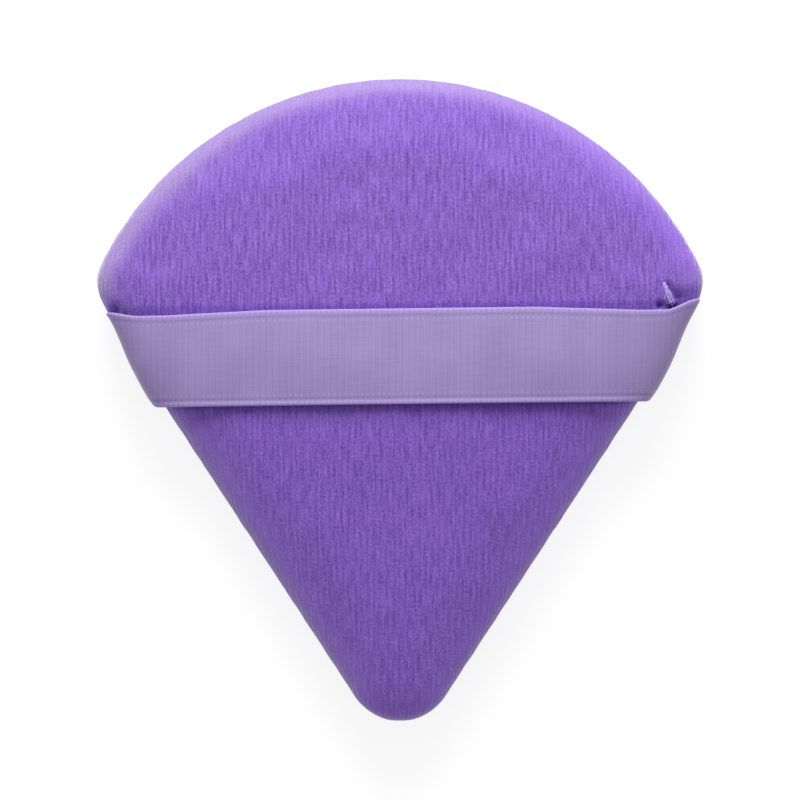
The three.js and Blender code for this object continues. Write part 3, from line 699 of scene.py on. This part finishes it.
def ribbon_surface(sizes, ribbon, along, share):
    """Points of the ribbon's middle surface.

    along runs from 0 at the caught right end to 1 at the caught left end, and share from 0 at the
    lower edge to 1 at the upper. Each half of a lengthwise line is a straight caught end, a quarter
    ellipse from the seam out to the shoulder, and a quarter superellipse up to the middle. It bows
    as a parabola across its width, and two shallow sine waves run along it. Its upper edge dips
    towards the seam, and its upper right corner rises there.
    """
    seam_level, crown = levels(sizes)
    top = seam_level + sizes.cut_gap / 2 + crown + ribbon.lift + ribbon.thickness / 2
    tilt = math.tan(ribbon.tilt)
    half = np.minimum(along, 1 - along)[:, None] * 2
    mirror = np.where(along <= 0.5, 1.0, -1.0)[:, None]
    y = ribbon.place + (share[None, :] - 0.5) * ribbon.width
    leaning = y + mirror * tilt * seam_half_width(sizes, y)
    seam = seam_half_width(sizes, leaning)
    leave = seam + sizes.cut_gap / 2
    shoulder = seam + ribbon.seam_bulge + ribbon.slack_bulge * np.sin(math.pi * share**ribbon.slack_lean)
    tuck = (sizes.allowance_width - ribbon.tuck_shortfall) / math.cos(sizes.side_angle)
    caught = np.clip(half / CAUGHT_PART, 0, 1)
    bend = np.clip((half - CAUGHT_PART) / BEND_PART, 0, 1) * QUARTER_TURN
    arch = np.clip((half - CAUGHT_PART - BEND_PART) / (1 - CAUGHT_PART - BEND_PART), 0, 1)
    arch = arch**ARCH_EASE * QUARTER_TURN
    power = 2 / ribbon.arch_fullness
    x = leave - (1 - caught) * (tuck + sizes.cut_gap / 2) + (shoulder - leave) * np.sin(bend)
    x = np.where(arch > 0, shoulder * np.cos(arch).clip(0) ** power, x)
    z = seam_level + ribbon.shoulder_height * (1 - np.cos(bend))
    z = z + (top - seam_level - ribbon.shoulder_height) * np.sin(arch) ** power
    free = np.sin(arch) ** FREE_EASE
    z = z + free * (ribbon.bow - 2 * ribbon.bow * (2 * share - 1) ** 2)
    dip = np.clip((x / seam - DIP_FROM) / DIP_OVER, 0, 1)
    flare = np.clip((x / seam - FLARE_FROM) / FLARE_OVER, 0, 1)
    flare = flare**2 * (3 - 2 * flare)
    risen = np.where(mirror > 0, ribbon.corner_rise, 0) * flare * share**2
    x = mirror * (x + CORNER_FOLLOW * flare * (seam_half_width(sizes, leaning + risen) - seam))
    y = y + risen - ribbon.edge_dip * dip * (1 - flare) * share**2
    ripples = sum(part * np.sin(x / run + slant * share + start) for part, run, slant, start in RIPPLES)
    return np.stack([x, y + tilt * x, z + free * RIPPLE_RISE * ripples], -1)


def make_ribbon(sizes, ribbon, name, material):
    """The satin ribbon: its middle surface thickened along its own normal, with a bead along each
    edge, and the length that it was cut to, which is the arc length of its middle line."""
    fine = np.linspace(0, 1, RIBBON_FINE)
    middle = ribbon_surface(sizes, ribbon, fine, np.array([0.5]))[:, 0]
    gone = np.concatenate([[0], np.cumsum(np.linalg.norm(np.diff(middle, axis=0), axis=1))])
    along = np.interp(np.linspace(0, gone[-1], RIBBON_ROWS + 1), gone, fine)
    bead = ribbon.selvedge_width / ribbon.width
    edge = bead * (1 - np.cos(np.linspace(0, QUARTER_TURN, SELVEDGE_COLUMNS + 1)))
    share = np.concatenate([edge, np.linspace(bead, 1 - bead, RIBBON_COLUMNS + 1)[1:-1], 1 - edge[::-1]])
    points = ribbon_surface(sizes, ribbon, along, share)
    normal = np.cross(np.gradient(points, axis=0), np.gradient(points, axis=1))
    normal /= np.linalg.norm(normal, axis=-1, keepdims=True)
    side = np.minimum(share, 1 - share) / bead
    rise = ribbon.selvedge_rise * np.sin(np.clip(side, 0, 1) * math.pi) ** BEAD_FULLNESS
    round_off = np.sqrt(1 - (1 - np.clip(side / BEAD_ROUND, 0, 1)) ** 2)
    half = (ribbon.thickness / 2 * round_off + rise)[None, :, None]
    loop = np.concatenate([points + normal * half, (points - normal * half)[:, -2:0:-1]], 1)
    ends = points[[0, -1], len(share) // 2]
    woven = np.cumsum(np.linalg.norm(np.diff(points, axis=0, prepend=points[:1]), axis=-1), axis=0)
    woven -= woven[RIBBON_ROWS // 2]
    places = np.stack(np.broadcast_arrays(woven, share * ribbon.width), -1)
    places = np.concatenate([places, places[:, -2:0:-1]], 1)
    poles = places[0, :1], places[-1, :1]
    return shell(name, loop, ends[:1], ends[1:], 1, material, places, poles), float(gone[-1])


# Threads


def stitched(legs, normals, under, over):
    """Corners of a thread that goes through the seam at each leg, by turns down and up."""
    high = np.where(np.arange(len(legs)) % 2 == 0, under, over)
    low = np.where(np.arange(len(legs)) % 2 == 0, over, under)
    z = np.stack([low, high], 1).ravel()
    return np.column_stack([np.repeat(legs, 2, 0), z]), np.repeat(normals, 2, 0)


def seam_stitches(sizes, inset, pitch, reach, skip, span):
    """Corners of a thread along the seam: round the puff from skip past the right tack, or only span
    along from there, with whole stitches nearest to the pitch."""
    points, normals, gone, length = seam_path(sizes, inset)
    first = beside_ribbon(sizes, 1, points, gone)
    start, stop = (first, first + span) if span else (first + skip, first + length)
    at = np.linspace(start, stop, max(round((stop - start) / pitch), 1) + 1)
    twice = [np.vstack([a, a]) for a in (points, normals)]
    legs, sides = along_path(*twice, np.concatenate([gone, gone + length]), at)
    seam, _ = levels(sizes)
    return stitched(legs, sides, seam + reach, seam - reach)


def face_level(plan):
    """Height of the finished front cover's face at plan points: the mean of its nearest points,
    weighted by one over the fourth power of their distance."""
    mesh = bpy.data.objects["velour_cover_front"].data
    points = np.empty(len(mesh.vertices) * 3)
    mesh.vertices.foreach_get("co", points)
    face = points.reshape(-1, 3)[: (CROWN_ROWS + EDGE_ROWS) * AROUND]
    away = np.linalg.norm(face[None, :, :2] - plan[:, None], axis=-1)
    weight = 1 / (away + FACE_NEAR) ** 4
    return (weight * face[:, 2]).sum(1) / weight.sum(1)


def tack_stitches(sizes, sewing, mirror, number):
    """Corners of one pass of a tack: up from the seam through the face, along the visible stitch on
    it, down again, and a stitch back through the seam."""
    legs, normals = tack_legs(sizes, mirror)
    seam, _ = levels(sizes)
    under, over = seam - sewing.reach, seam + sewing.reach
    holes = legs + TACK_SPREAD * [number * TACK_FAN, 0]
    middle = holes[:2].mean(0)
    face = face_level(np.vstack([holes[:2], middle])) + sewing.thread_radius * TACK_LIFT[mirror]
    face[:2] = np.maximum(face[:2], face[2] - TACK_SAG)
    sunk = face - TACK_SINK
    heights = [under, sunk[0], face[0], face[1], sunk[1], under, under, over, over, under]
    turns = 3, 3, 2, 2
    corners = np.column_stack([np.repeat(holes, turns, 0), heights])
    corners = np.insert(corners, turns[0], [*middle, face[2]], axis=0)
    return corners, np.insert(np.repeat(normals, turns, 0), turns[0], normals[0], axis=0)


def softened(corners, passes=3):
    """A route with its turns rounded: each pass cuts every corner at a quarter and three quarters."""
    for _ in range(passes):
        near, far = corners[:-1] * 0.75 + corners[1:] * 0.25, corners[:-1] * 0.25 + corners[1:] * 0.75
        middle = np.stack([near, far], 1).reshape(-1, corners.shape[1])
        corners = np.vstack([corners[:1], middle, corners[-1:]])
    return corners


def tube(path, aside, radius, sides):
    """Rings round a path: at each point a circle square to it. aside is a direction off the path."""
    ahead = np.gradient(path, axis=0)
    ahead /= np.linalg.norm(ahead, axis=1, keepdims=True)
    first = aside - (aside * ahead).sum(1, keepdims=True) * ahead
    first /= np.linalg.norm(first, axis=1, keepdims=True)
    second = np.cross(ahead, first)
    turn = np.arange(sides) / sides * FULL_TURN
    spokes = np.cos(turn)[:, None] * first[:, None] + np.sin(turn)[:, None] * second[:, None]
    return path[:, None] + np.reshape(radius, (-1, 1, 1)) * spokes


def twisted(corners, normals, radius, twist):
    """Two plies laid round a softened route: each runs on a circle of about half the radius round it,
    one turn for each twist."""
    route = softened(np.hstack([corners, normals]))
    steps = np.linalg.norm(np.diff(route[:, :3], axis=0), axis=1)
    gone = np.concatenate([[0], np.cumsum(steps)])
    at = np.linspace(0, gone[-1], int(gone[-1] / PATH_STEP))
    read = [np.interp(at, gone, column) for column in route.T]
    path = np.stack(read[:3], -1)
    aside = np.column_stack([*read[3:], at * 0])
    ahead = np.gradient(path, axis=0)
    ahead /= np.linalg.norm(ahead, axis=1, keepdims=True)
    second = np.cross(ahead, aside)
    plies = []
    for phase in (0, math.pi):
        turn = (at / twist * FULL_TURN + phase)[:, None]
        spoke = np.cos(turn) * aside + np.sin(turn) * second
        plies.append(tube(path + spoke * radius * PLY_PLACE, spoke, radius * PLY_RADIUS, PLY_SIDES))
    return plies


def tuft(stitch, number):
    """The frayed surface of a tack's stitch: loose fibres that lie down along it. Each is a parabola
    from its start over a hump to its end, and thins to a point."""
    draw, bend = [np.random.default_rng(seed + PASS_SEEDS * number) for seed in FIBRE_SEEDS]
    starts = stitch[1] + draw.normal(0, 1, (FIBRES, 3)) * FIBRE_ROOTS
    ends = starts + (stitch[2] - stitch[1]) * draw.uniform(*FIBRE_RUNS, (FIBRES, 1))
    ends += draw.normal(0, FIBRE_ENDS, (FIBRES, 3))
    ends[:, 2] = np.maximum(ends[:, 2], stitch[2, 2] + FIBRE_LEVEL)
    t = np.linspace(0, 1, FIBRE_POINTS)[:, None]
    thin = FIBRE_RADIUS * (1 - FIBRE_TAPER * t[:, 0] ** 2)
    aside = np.tile(FIBRE_ASIDE, (FIBRE_POINTS, 1))
    tubes = []
    for start, end in zip(starts, ends):
        sway = [*bend.normal(0, FIBRE_SWAY, 2), FIBRE_HUMP * bend.uniform(*FIBRE_HUMPS)]
        path = (1 - t) ** 2 * start + 2 * t * (1 - t) * ((start + end) / 2 + sway) + t**2 * end
        tubes.append(tube(path, aside, thin, FIBRE_SIDES))
    return tubes


def make_thread(name, tubes, material):
    """Tubes joined into one mesh, each closed at both ends."""
    points, faces, start = [], [], 0
    for rings in tubes:
        rows, count = rings.shape[:2]
        points.append(np.vstack([rings.reshape(-1, 3), rings[[0, -1]].mean(1)]))
        total = start + rows * count
        faces += [face[::-1] for face in ring_faces(rows, count, start, total, total + 1)]
        start = total + 2
    return make_piece(name, np.vstack(points), faces, material)


# Materials


def add(tree, kind, inputs=None, output=0, **settings):
    """Adds a shader node with its settings, and with a value or a link for each input that is named or
    numbered. Returns one of its outputs."""
    made = tree.nodes.new("ShaderNode" + kind)
    for key, value in settings.items():
        setattr(made, key, value)
    for key, value in (inputs or {}).items():
        if isinstance(value, bpy.types.NodeSocket):
            tree.links.new(value, made.inputs[key])
        else:
            made.inputs[key].default_value = value
    return made.outputs[output]


def cleared(owner, kind):
    """The node tree of a material or a world, with nothing but its output node, and that node's
    surface socket."""
    owner.use_nodes = True
    tree = owner.node_tree
    tree.nodes.clear()
    return tree, tree.nodes.new("ShaderNodeOutput" + kind).inputs["Surface"]


def new_material(name):
    """An empty node material, its tree, and the socket for its surface."""
    material = bpy.data.materials.get(name) or bpy.data.materials.new(name)
    return material, *cleared(material, "Material")


def velour_material(sizes, colours, ribbon):
    """Short-pile polyester velour, weft-knitted, sheared and brushed one way.

    The sheared tips stand in tufts a third of a millimetre apart, which gives a fine grain. The knit's
    wales show as faint upright ribs 0.8 mm apart, and the brushed nap as short upright streaks. Fibre
    ends catch grazing light as a pale sheen. Over the rounded edge the colour holds painted rim light:
    steep faces are painted paler, palest where they face up and left towards the light, and a vivid
    purple where they face away. The face below the ribbon is painted darker as painted shade, and
    painted shade darkens the face beside the ribbon's edges and round the tacks' holes.
    """
    material, tree, surface = new_material("knitted_polyester_velour")
    wale_share, cloud_share = 0.2, 0.22
    cloth = add(tree, "UVMap", uv_map="cloth")
    # The scales are one over the size of a tuft, a cloud, a streak or a wale, in metres.
    pile = add(tree, "TexNoise", {"Vector": cloth, "Scale": 1 / (0.34 * MM), "Detail": 1.0}, **FLAT)
    for width, length, weight in ((0.26, 2.6, 1.6), (0.5, 4.5, 0.35)):
        combed = add(tree, "Mapping", {"Vector": cloth, "Scale": (1 / (width * MM), 1 / (length * MM), 1.0)})
        streaks = add(tree, "TexNoise", {"Vector": combed, "Scale": 1.0, "Detail": 2.0}, **FLAT)
        pile = add(tree, "Math", {0: streaks, 1: weight, 2: pile}, operation="MULTIPLY_ADD")
    ribs = {"Scale": WAVE / (0.8 * MM), "Distortion": 2.5, "Detail": 2.0, "Detail Scale": 0.5}
    wales = add(tree, "TexWave", {"Vector": cloth, **ribs}, "Fac", bands_direction="X")
    pile = add(tree, "Math", {0: wales, 1: wale_share, 2: pile}, operation="MULTIPLY_ADD")
    clouds = add(tree, "TexNoise", {"Vector": cloth, "Scale": 1 / (7 * MM), "Detail": 3.0}, **FLAT)
    clouded = add(tree, "Math", {0: clouds, 1: cloud_share, 2: pile}, operation="MULTIPLY_ADD")
    shade = add(tree, "MapRange", {"Value": clouded, "From Min": 1.18, "From Max": 2.22})
    colour = add(tree, "Mix", {0: shade, FROM: colours.velour_deep, TO: colours.velour_tips}, MIXED, **RGB)
    relief = add(tree, "Bump", {"Strength": 0.54, "Distance": 0.16 * MM, "Height": pile})

    # Painted shade: the face below the ribbon is painted darker and deeper purple.
    along = add(tree, "SeparateXYZ", {"Vector": cloth}, "Y")
    lower = {"From Min": 9 * MM, "From Max": 1 * MM, "To Max": 0.17}
    painted_lower_shade = add(tree, "MapRange", {"Value": along, **lower}, **SMOOTH)

    # Painted rim light: steep faces over the edge are painted paler, palest facing up and left, to the light.
    facing = add(tree, "TexCoord", output="Normal")
    height = add(tree, "SeparateXYZ", {"Vector": facing}, "Z")
    level = add(tree, "Math", {0: height}, operation="ABSOLUTE")
    steep = {"From Min": 0.99, "From Max": 0.78, "To Max": 0.52}
    # The steeper the face, the more painted rim light.
    turned = add(tree, "MapRange", {"Value": level, **steep}, **SMOOTH)
    # How far the face turns up and left, towards the light: the painted highlight follows it.
    lit_side = (-0.65, 0.76, 0.0)
    against = add(tree, "VectorMath", {0: facing, 1: lit_side}, "Value", operation="DOT_PRODUCT")
    facing_light = add(tree, "MapRange", {"Value": against, "From Max": 0.45})
    painted_rim = add(tree, "Mix", {0: facing_light, FROM: colours.velour_painted_rim_light, TO: colours.velour_painted_highlight}, MIXED, **RGB)
    much = add(tree, "MapRange", {"Value": facing_light, "To Min": 0.8, "To Max": 1.0})
    shown = add(tree, "Math", {0: turned, 1: much}, operation="MULTIPLY")

    # Painted shade on the face: dark bands beside the ribbon's edges and dark spots round the tacks' holes.
    square = (-math.tan(ribbon.tilt), 1.0, 0.0)
    place = add(tree, "VectorMath", {0: cloth, 1: square}, "Value", operation="DOT_PRODUCT")
    off = add(tree, "Math", {0: place, 1: ribbon.place}, operation="SUBTRACT")
    off = add(tree, "Math", {0: off}, operation="ABSOLUTE")
    edge = ribbon.width / 2
    beside = {"From Min": edge + 1.0 * MM, "From Max": edge + 0.3 * MM, "To Max": 0.42}
    pressed = add(tree, "MapRange", {"Value": off, **beside}, **SMOOTH)
    round_hole = {"From Min": 1.0 * MM, "From Max": 0.2 * MM}
    for mirror, spots in TACK_SHADE_SPOTS.items():
        foot = tack_legs(sizes, mirror)[0][1]
        for spot in spots:
            hole = (*(foot + np.array(spot) * [mirror * MM, MM]), 0.0)
            away = add(tree, "VectorMath", {0: cloth, 1: hole}, "Value", operation="DISTANCE")
            near = add(tree, "MapRange", {"Value": away, **round_hole}, **SMOOTH)
            pressed = add(tree, "Math", {0: pressed, 1: near}, operation="MAXIMUM")
    front = add(tree, "MapRange", {"Value": height, "From Max": 0.1, "To Max": 0.75})
    pressed = add(tree, "Math", {0: pressed, 1: front}, operation="MULTIPLY")

    # Painted over the grain: the shade below the ribbon, the rim light, and the shade beside the ribbon and
    # the tacks.
    for share, over in ((painted_lower_shade, colours.velour_painted_lower_shade), (shown, painted_rim), (pressed, colours.velour_painted_shade)):
        colour = add(tree, "Mix", {0: share, FROM: colour, TO: over}, MIXED, **RGB)
    finish = {
        "Roughness": 1.0,
        "Specular IOR Level": 0.08,
        "Sheen Weight": 1.0,
        "Sheen Roughness": 0.45,
        "Sheen Tint": linear("#fcf4fa"),
    }
    tree.links.new(add(tree, "BsdfPrincipled", {"Base Color": colour, "Normal": relief, **finish}), surface)
    return material


def satin_material(colours, ribbon):
    """Single-face polyester satin ribbon, woven with long warp floats and heat-set.

    The floats give a soft silvery gloss drawn out across the ribbon, the weft shows as very faint cross
    ribs, and each selvedge is a firmer, paler woven bead with a dotted line of weft turns beside it.
    """
    material, tree, surface = new_material("woven_polyester_satin")
    cloth = add(tree, "UVMap", uv_map="cloth")
    along = add(tree, "SeparateXYZ", {"Vector": cloth}, "X")
    across = add(tree, "SeparateXYZ", {"Vector": cloth}, "Y")

    # By the distance in from the nearer edge: the bead, a dark line at 0.85 mm beside it, and a line
    # of weft turns 0.68 mm apart at 1.3 mm.
    dark_line, bright_line, turn_pitch = 0.85 * MM, 1.3 * MM, 0.68 * MM
    off = add(tree, "Math", {0: across, 1: ribbon.width / 2}, operation="SUBTRACT")
    off = add(tree, "Math", {0: off}, operation="ABSOLUTE")
    edge = add(tree, "Math", {0: ribbon.width / 2, 1: off}, operation="SUBTRACT")
    lines = []
    for inset in (dark_line, bright_line):
        near = add(tree, "Math", {0: edge, 1: inset}, operation="SUBTRACT")
        near = add(tree, "Math", {0: near}, operation="ABSOLUTE")
        narrow = {"From Min": 0.24 * MM, "From Max": 0.04 * MM}
        lines.append(add(tree, "MapRange", {"Value": near, **narrow}, **SMOOTH))
    beaded = {"From Min": 0.75 * MM, "From Max": 0.45 * MM}
    bead = add(tree, "MapRange", {"Value": edge, **beaded}, **SMOOTH)
    stretch = add(tree, "Math", {0: along, 1: FULL_TURN / turn_pitch}, operation="MULTIPLY")
    turns = add(tree, "Math", {0: stretch}, operation="SINE")
    dots = add(tree, "MapRange", {"Value": turns, "From Min": -0.4, "From Max": 0.6, "To Max": 0.42})
    dotted = add(tree, "Math", {0: lines[1], 1: dots}, operation="MULTIPLY")
    loops = add(tree, "MapRange", {"Value": turns, "From Min": -1.0, "To Min": 0.6, "To Max": 1.0})
    looped = add(tree, "Math", {0: bead, 1: loops}, operation="MULTIPLY")
    firm = add(tree, "Math", {0: looped, 1: dotted}, operation="MAXIMUM")

    # The real weft is 0.1 mm apart, too fine to show, so it is drawn 0.42 mm apart. Broader ribs
    # 0.8 mm apart lie over it. The warp's floats are 3.5 mm long, and soft creases 5 by 9 mm. Each
    # has its share in the weave, and the dark line takes some away.
    woven, line_share = 0.02, -0.2
    for pitch, bends, detail, finer, weight in ((0.42, 1.2, 1.0, 0.6, 0.1), (0.8, 2.0, 2.0, 0.3, 0.12)):
        ribs = {"Scale": WAVE / (pitch * MM), "Distortion": bends, "Detail": detail, "Detail Scale": finer}
        weft = add(tree, "TexWave", {"Vector": cloth, **ribs}, "Fac", bands_direction="X")
        woven = add(tree, "Math", {0: weft, 1: weight, 2: woven}, operation="MULTIPLY_ADD")
    for length, width, detail, weight in ((5, 9, 3.0, 0.4), (3.5, 0.16, 1.0, 0.26)):
        drawn = add(tree, "Mapping", {"Vector": cloth, "Scale": (1 / (length * MM), 1 / (width * MM), 1.0)})
        warp = add(tree, "TexNoise", {"Vector": drawn, "Scale": 1.0, "Detail": detail}, **FLAT)
        woven = add(tree, "Math", {0: warp, 1: weight, 2: woven}, operation="MULTIPLY_ADD")
    woven = add(tree, "Math", {0: lines[0], 1: line_share, 2: woven}, operation="MULTIPLY_ADD")
    shade = add(tree, "MapRange", {"Value": woven, "From Min": 0.05, "From Max": 0.6})
    colour = add(tree, "Mix", {0: shade, FROM: colours.satin_deep, TO: colours.satin}, MIXED, **RGB)
    colour = add(tree, "Mix", {0: firm, FROM: colour, TO: colours.selvedge}, MIXED, **RGB)
    gloss = add(tree, "MapRange", {"Value": bead, "To Min": 0.42, "To Max": 0.75})
    relief = add(tree, "Bump", {"Strength": 0.5, "Distance": 0.03 * MM, "Height": woven})
    finish = {
        "Roughness": gloss,
        "IOR": 1.5,
        "Specular IOR Level": 0.45,
        "Anisotropic": 0.45,
        "Sheen Weight": 0.15,
        "Sheen Roughness": 0.4,
        "Sheen Tint": linear("#f0eaf8"),
    }
    tree.links.new(add(tree, "BsdfPrincipled", {"Base Color": colour, "Normal": relief, **finish}), surface)
    return material


def thread_material(colours):
    """Spun polyester sewing thread: short fibres twisted together, soft and a little hairy, so it has
    a low gloss and fine streaks along the twist."""
    material, tree, surface = new_material("spun_polyester_thread")
    place = add(tree, "TexCoord", output="Object")
    fibres = add(tree, "TexNoise", {"Vector": place, "Scale": 1 / (0.09 * MM), "Detail": 2.0})
    pale = add(tree, "HueSaturation", {"Saturation": 0.8, "Value": 1.25, "Color": colours.thread})
    colour = add(tree, "Mix", {0: fibres, FROM: colours.thread, TO: pale}, MIXED, **RGB)
    relief = add(tree, "Bump", {"Strength": 0.6, "Distance": 0.02 * MM, "Height": fibres})
    finish = {"Roughness": 0.6, "Specular IOR Level": 0.35, "Sheen Weight": 0.4, "Sheen Roughness": 0.4}
    tree.links.new(add(tree, "BsdfPrincipled", {"Base Color": colour, "Normal": relief, **finish}), surface)
    return material


def foam_material(colours):
    """Flexible polyurethane foam, slabstock, cut to shape: open cells of about half a millimetre give
    a matt surface of small dark pores."""
    material, tree, surface = new_material("cut_polyurethane_foam")
    place = add(tree, "TexCoord", output="Object")
    cells = add(tree, "TexVoronoi", {"Vector": place, "Scale": 1 / (0.55 * MM)})
    pores = add(tree, "MapRange", {"Value": cells, "From Min": 0.1, "From Max": 0.6})
    dark = add(tree, "HueSaturation", {"Value": 0.62, "Color": colours.foam})
    colour = add(tree, "Mix", {0: pores, FROM: dark, TO: colours.foam}, MIXED, **RGB)
    relief = add(tree, "Bump", {"Strength": 0.8, "Distance": 0.2 * MM, "Height": pores})
    finish = {"Roughness": 0.95, "Specular IOR Level": 0.2}
    tree.links.new(add(tree, "BsdfPrincipled", {"Base Color": colour, "Normal": relief, **finish}), surface)
    return material


def floor_material(colours):
    """Matt coated photographic paper: an even white that only adds to itself for the camera and for
    reflections, so that the puff's shadow stays."""
    material, tree, surface = new_material("matt_white_paper")
    ray = tree.nodes.new("ShaderNodeLightPath").outputs
    seen = ray["Is Camera Ray"]
    for kind in ("Is Glossy Ray", "Is Transmission Ray"):
        seen = add(tree, "Math", {0: seen, 1: ray[kind]}, operation="MAXIMUM")
    share = add(tree, "Math", {0: seen, 1: FLOOR_LIFT}, operation="MULTIPLY")
    paper = add(tree, "BsdfDiffuse", {"Color": colours.floor})
    lift = add(tree, "Emission", {"Color": (1, 1, 1, 1), "Strength": FLOOR_WHITE})
    tree.links.new(add(tree, "MixShader", {0: share, 1: paper, 2: lift}), surface)
    return material


# Operators and panel


class PUFF_OT_covers(bpy.types.Operator):
    """Build the two velour covers and the foam core that fills them"""

    bl_idname = "puff.covers"
    bl_label = "Covers and foam"

    def execute(self, context):
        sizes, colours = context.scene.puff_sizes, context.scene.puff_colours
        velour = velour_material(sizes, colours, context.scene.puff_ribbon)
        moved = {}
        for up, word in ((1, "front"), (-1, "back")):
            cover, moved[up] = make_cover(sizes, up, f"velour_cover_{word}", velour)
            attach(cover, BODY)
            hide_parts(f"{word}_cover")
        foam = make_foam(sizes, moved, "cut_foam_core", foam_material(colours))
        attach(foam, BODY)
        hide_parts("foam_core")
        return {"FINISHED"}


class PUFF_OT_ribbon(bpy.types.Operator):
    """Build the satin finger ribbon"""

    bl_idname = "puff.ribbon"
    bl_label = "Finger ribbon"

    def execute(self, context):
        sizes, ribbon = context.scene.puff_sizes, context.scene.puff_ribbon
        satin = satin_material(context.scene.puff_colours, ribbon)
        piece, length = make_ribbon(sizes, ribbon, "satin_finger_ribbon", satin)
        print(f"ribbon cut to {length / MM:.1f} mm")
        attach(piece, BODY)
        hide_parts("finger_ribbon")
        return {"FINISHED"}


class PUFF_OT_threads(bpy.types.Operator):
    """Build the seam thread, the closing thread and the two ribbon tacks"""

    bl_idname = "puff.threads"
    bl_label = "Sewing threads"

    def execute(self, context):
        sizes, sewing = context.scene.puff_sizes, context.scene.puff_sewing
        lay = sewing.thread_radius, sewing.twist
        span = sewing.closing - sewing.stitch
        runs = (
            ("seam", sewing.seam_inset, sewing.stitch, sewing.reach, sewing.closing, 0),
            ("closing", sewing.ladder_inset, sewing.ladder, sewing.ladder_depth, 0, span),
        )
        threads = []
        for word, *run in runs:
            tubes = twisted(*seam_stitches(sizes, *run), *lay)
            threads.append((f"{word}_sewing_thread", f"{word}_thread", f"{word}_thread", tubes))
        for mirror, word in ((1, "right"), (-1, "left")):
            tubes = []
            for number in TACK_PASSES[mirror]:
                corners, aside = tack_stitches(sizes, sewing, mirror, number)
                tubes += twisted(corners, aside, *lay)
                if mirror > 0:
                    tubes += tuft(corners[2:5], number)
            threads.append((f"tack_thread_{word}", f"ribbon_tack_{word}", f"tack_thread_{word}", tubes))
        spun = thread_material(context.scene.puff_colours)
        for name, node, slot, tubes in threads:
            thread = make_thread(name, tubes, spun)
            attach(thread, BODY)
            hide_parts(node)
        return {"FINISHED"}


class PUFF_OT_stage(bpy.types.Operator):
    """Build the floor, the soft light and the camera"""

    bl_idname = "puff.stage"
    bl_label = "Floor, light and camera"

    def execute(self, context):
        scene = context.scene
        corners = np.array([[-1, -1], [1, -1], [1, 1], [-1, 1]]) * FLOOR_REACH
        points = np.column_stack([corners, np.full(4, FLOOR_LEVEL)])
        floor = make_piece("paper_floor", points, [[0, 1, 2, 3]], floor_material(scene.puff_colours))

        for name, (share, distance, elevation, azimuth, width) in SOFT_BOXES.items():
            up, aside = math.radians(elevation), math.radians(azimuth)
            away = np.array([-math.sin(aside) * math.cos(up), math.cos(aside) * math.cos(up), math.sin(up)])
            lamp = bpy.data.lights.new(name, "AREA")
            lamp.shape, lamp.size = "SQUARE", width
            lamp.energy = math.pi**2 * share * distance**2 / math.sin(up)
            box = bpy.data.objects.new(name, lamp)
            box.location = away * distance
            box.rotation_mode = "QUATERNION"
            box.rotation_quaternion = box.location.to_track_quat("Z", "Y")
            scene.collection.objects.link(box)
        sky_share = 1 - sum(share for share, *_ in SOFT_BOXES.values())

        world = bpy.data.worlds.new("white_studio")
        tree, surface = cleared(world, "World")
        ray = tree.nodes.new("ShaderNodeLightPath").outputs
        kinds = {0: ray["Is Camera Ray"], 1: ray["Is Transmission Ray"]}
        seen = add(tree, "Math", kinds, operation="MAXIMUM")
        strength = add(tree, "MapRange", {"Value": seen, "To Min": sky_share, "To Max": 1.0})
        tree.links.new(add(tree, "Background", {"Color": (1, 1, 1, 1), "Strength": strength}), surface)
        scene.world = world

        lens = bpy.data.cameras.new("overhead_camera")
        lens.lens, lens.sensor_width = 200.0, 36.0
        lens.clip_start, lens.clip_end = 0.01, 10.0
        camera = bpy.data.objects.new("overhead_camera", lens)
        camera.location = (0.0, 0.0, CAMERA_HEIGHT)
        scene.collection.objects.link(camera)
        scene.camera = camera
        scene.view_settings.view_transform = "Standard"
        return {"FINISHED"}


class PUFF_PT_panel(bpy.types.Panel):
    """Sizes, colours and the steps that build the puff"""

    bl_idname = "PUFF_PT_panel"
    bl_label = "Powder puff"
    bl_space_type = "VIEW_3D"
    bl_region_type = "UI"
    bl_category = "Powder puff"

    def draw(self, context):
        layout = self.layout
        for name in GROUPS:
            group = getattr(context.scene, name)
            box = layout.box()
            for key in group.__annotations__:
                box.prop(group, key)
        for step in STEPS:
            layout.operator(step.bl_idname)


GROUPS = {
    "puff_sizes": PuffSizes,
    "puff_ribbon": RibbonSizes,
    "puff_sewing": SewingSizes,
    "puff_colours": PuffColours,
}
STEPS = (PUFF_OT_covers, PUFF_OT_ribbon, PUFF_OT_threads, PUFF_OT_stage)


def register():
    for item in (*GROUPS.values(), *STEPS, PUFF_PT_panel):
        bpy.utils.register_class(item)
    for key, group in GROUPS.items():
        setattr(bpy.types.Scene, key, PointerProperty(type=group))


def unregister():
    for key in GROUPS:
        delattr(bpy.types.Scene, key)
    for item in (PUFF_PT_panel, *reversed(STEPS), *reversed(GROUPS.values())):
        bpy.utils.unregister_class(item)


def main():
    """Registers the add-on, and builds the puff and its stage."""
    register()
    bpy.ops.puff.covers()
    bpy.ops.puff.ribbon()
    bpy.ops.puff.threads()
    bpy.ops.puff.stage()


if __name__ == "__main__":
    main()
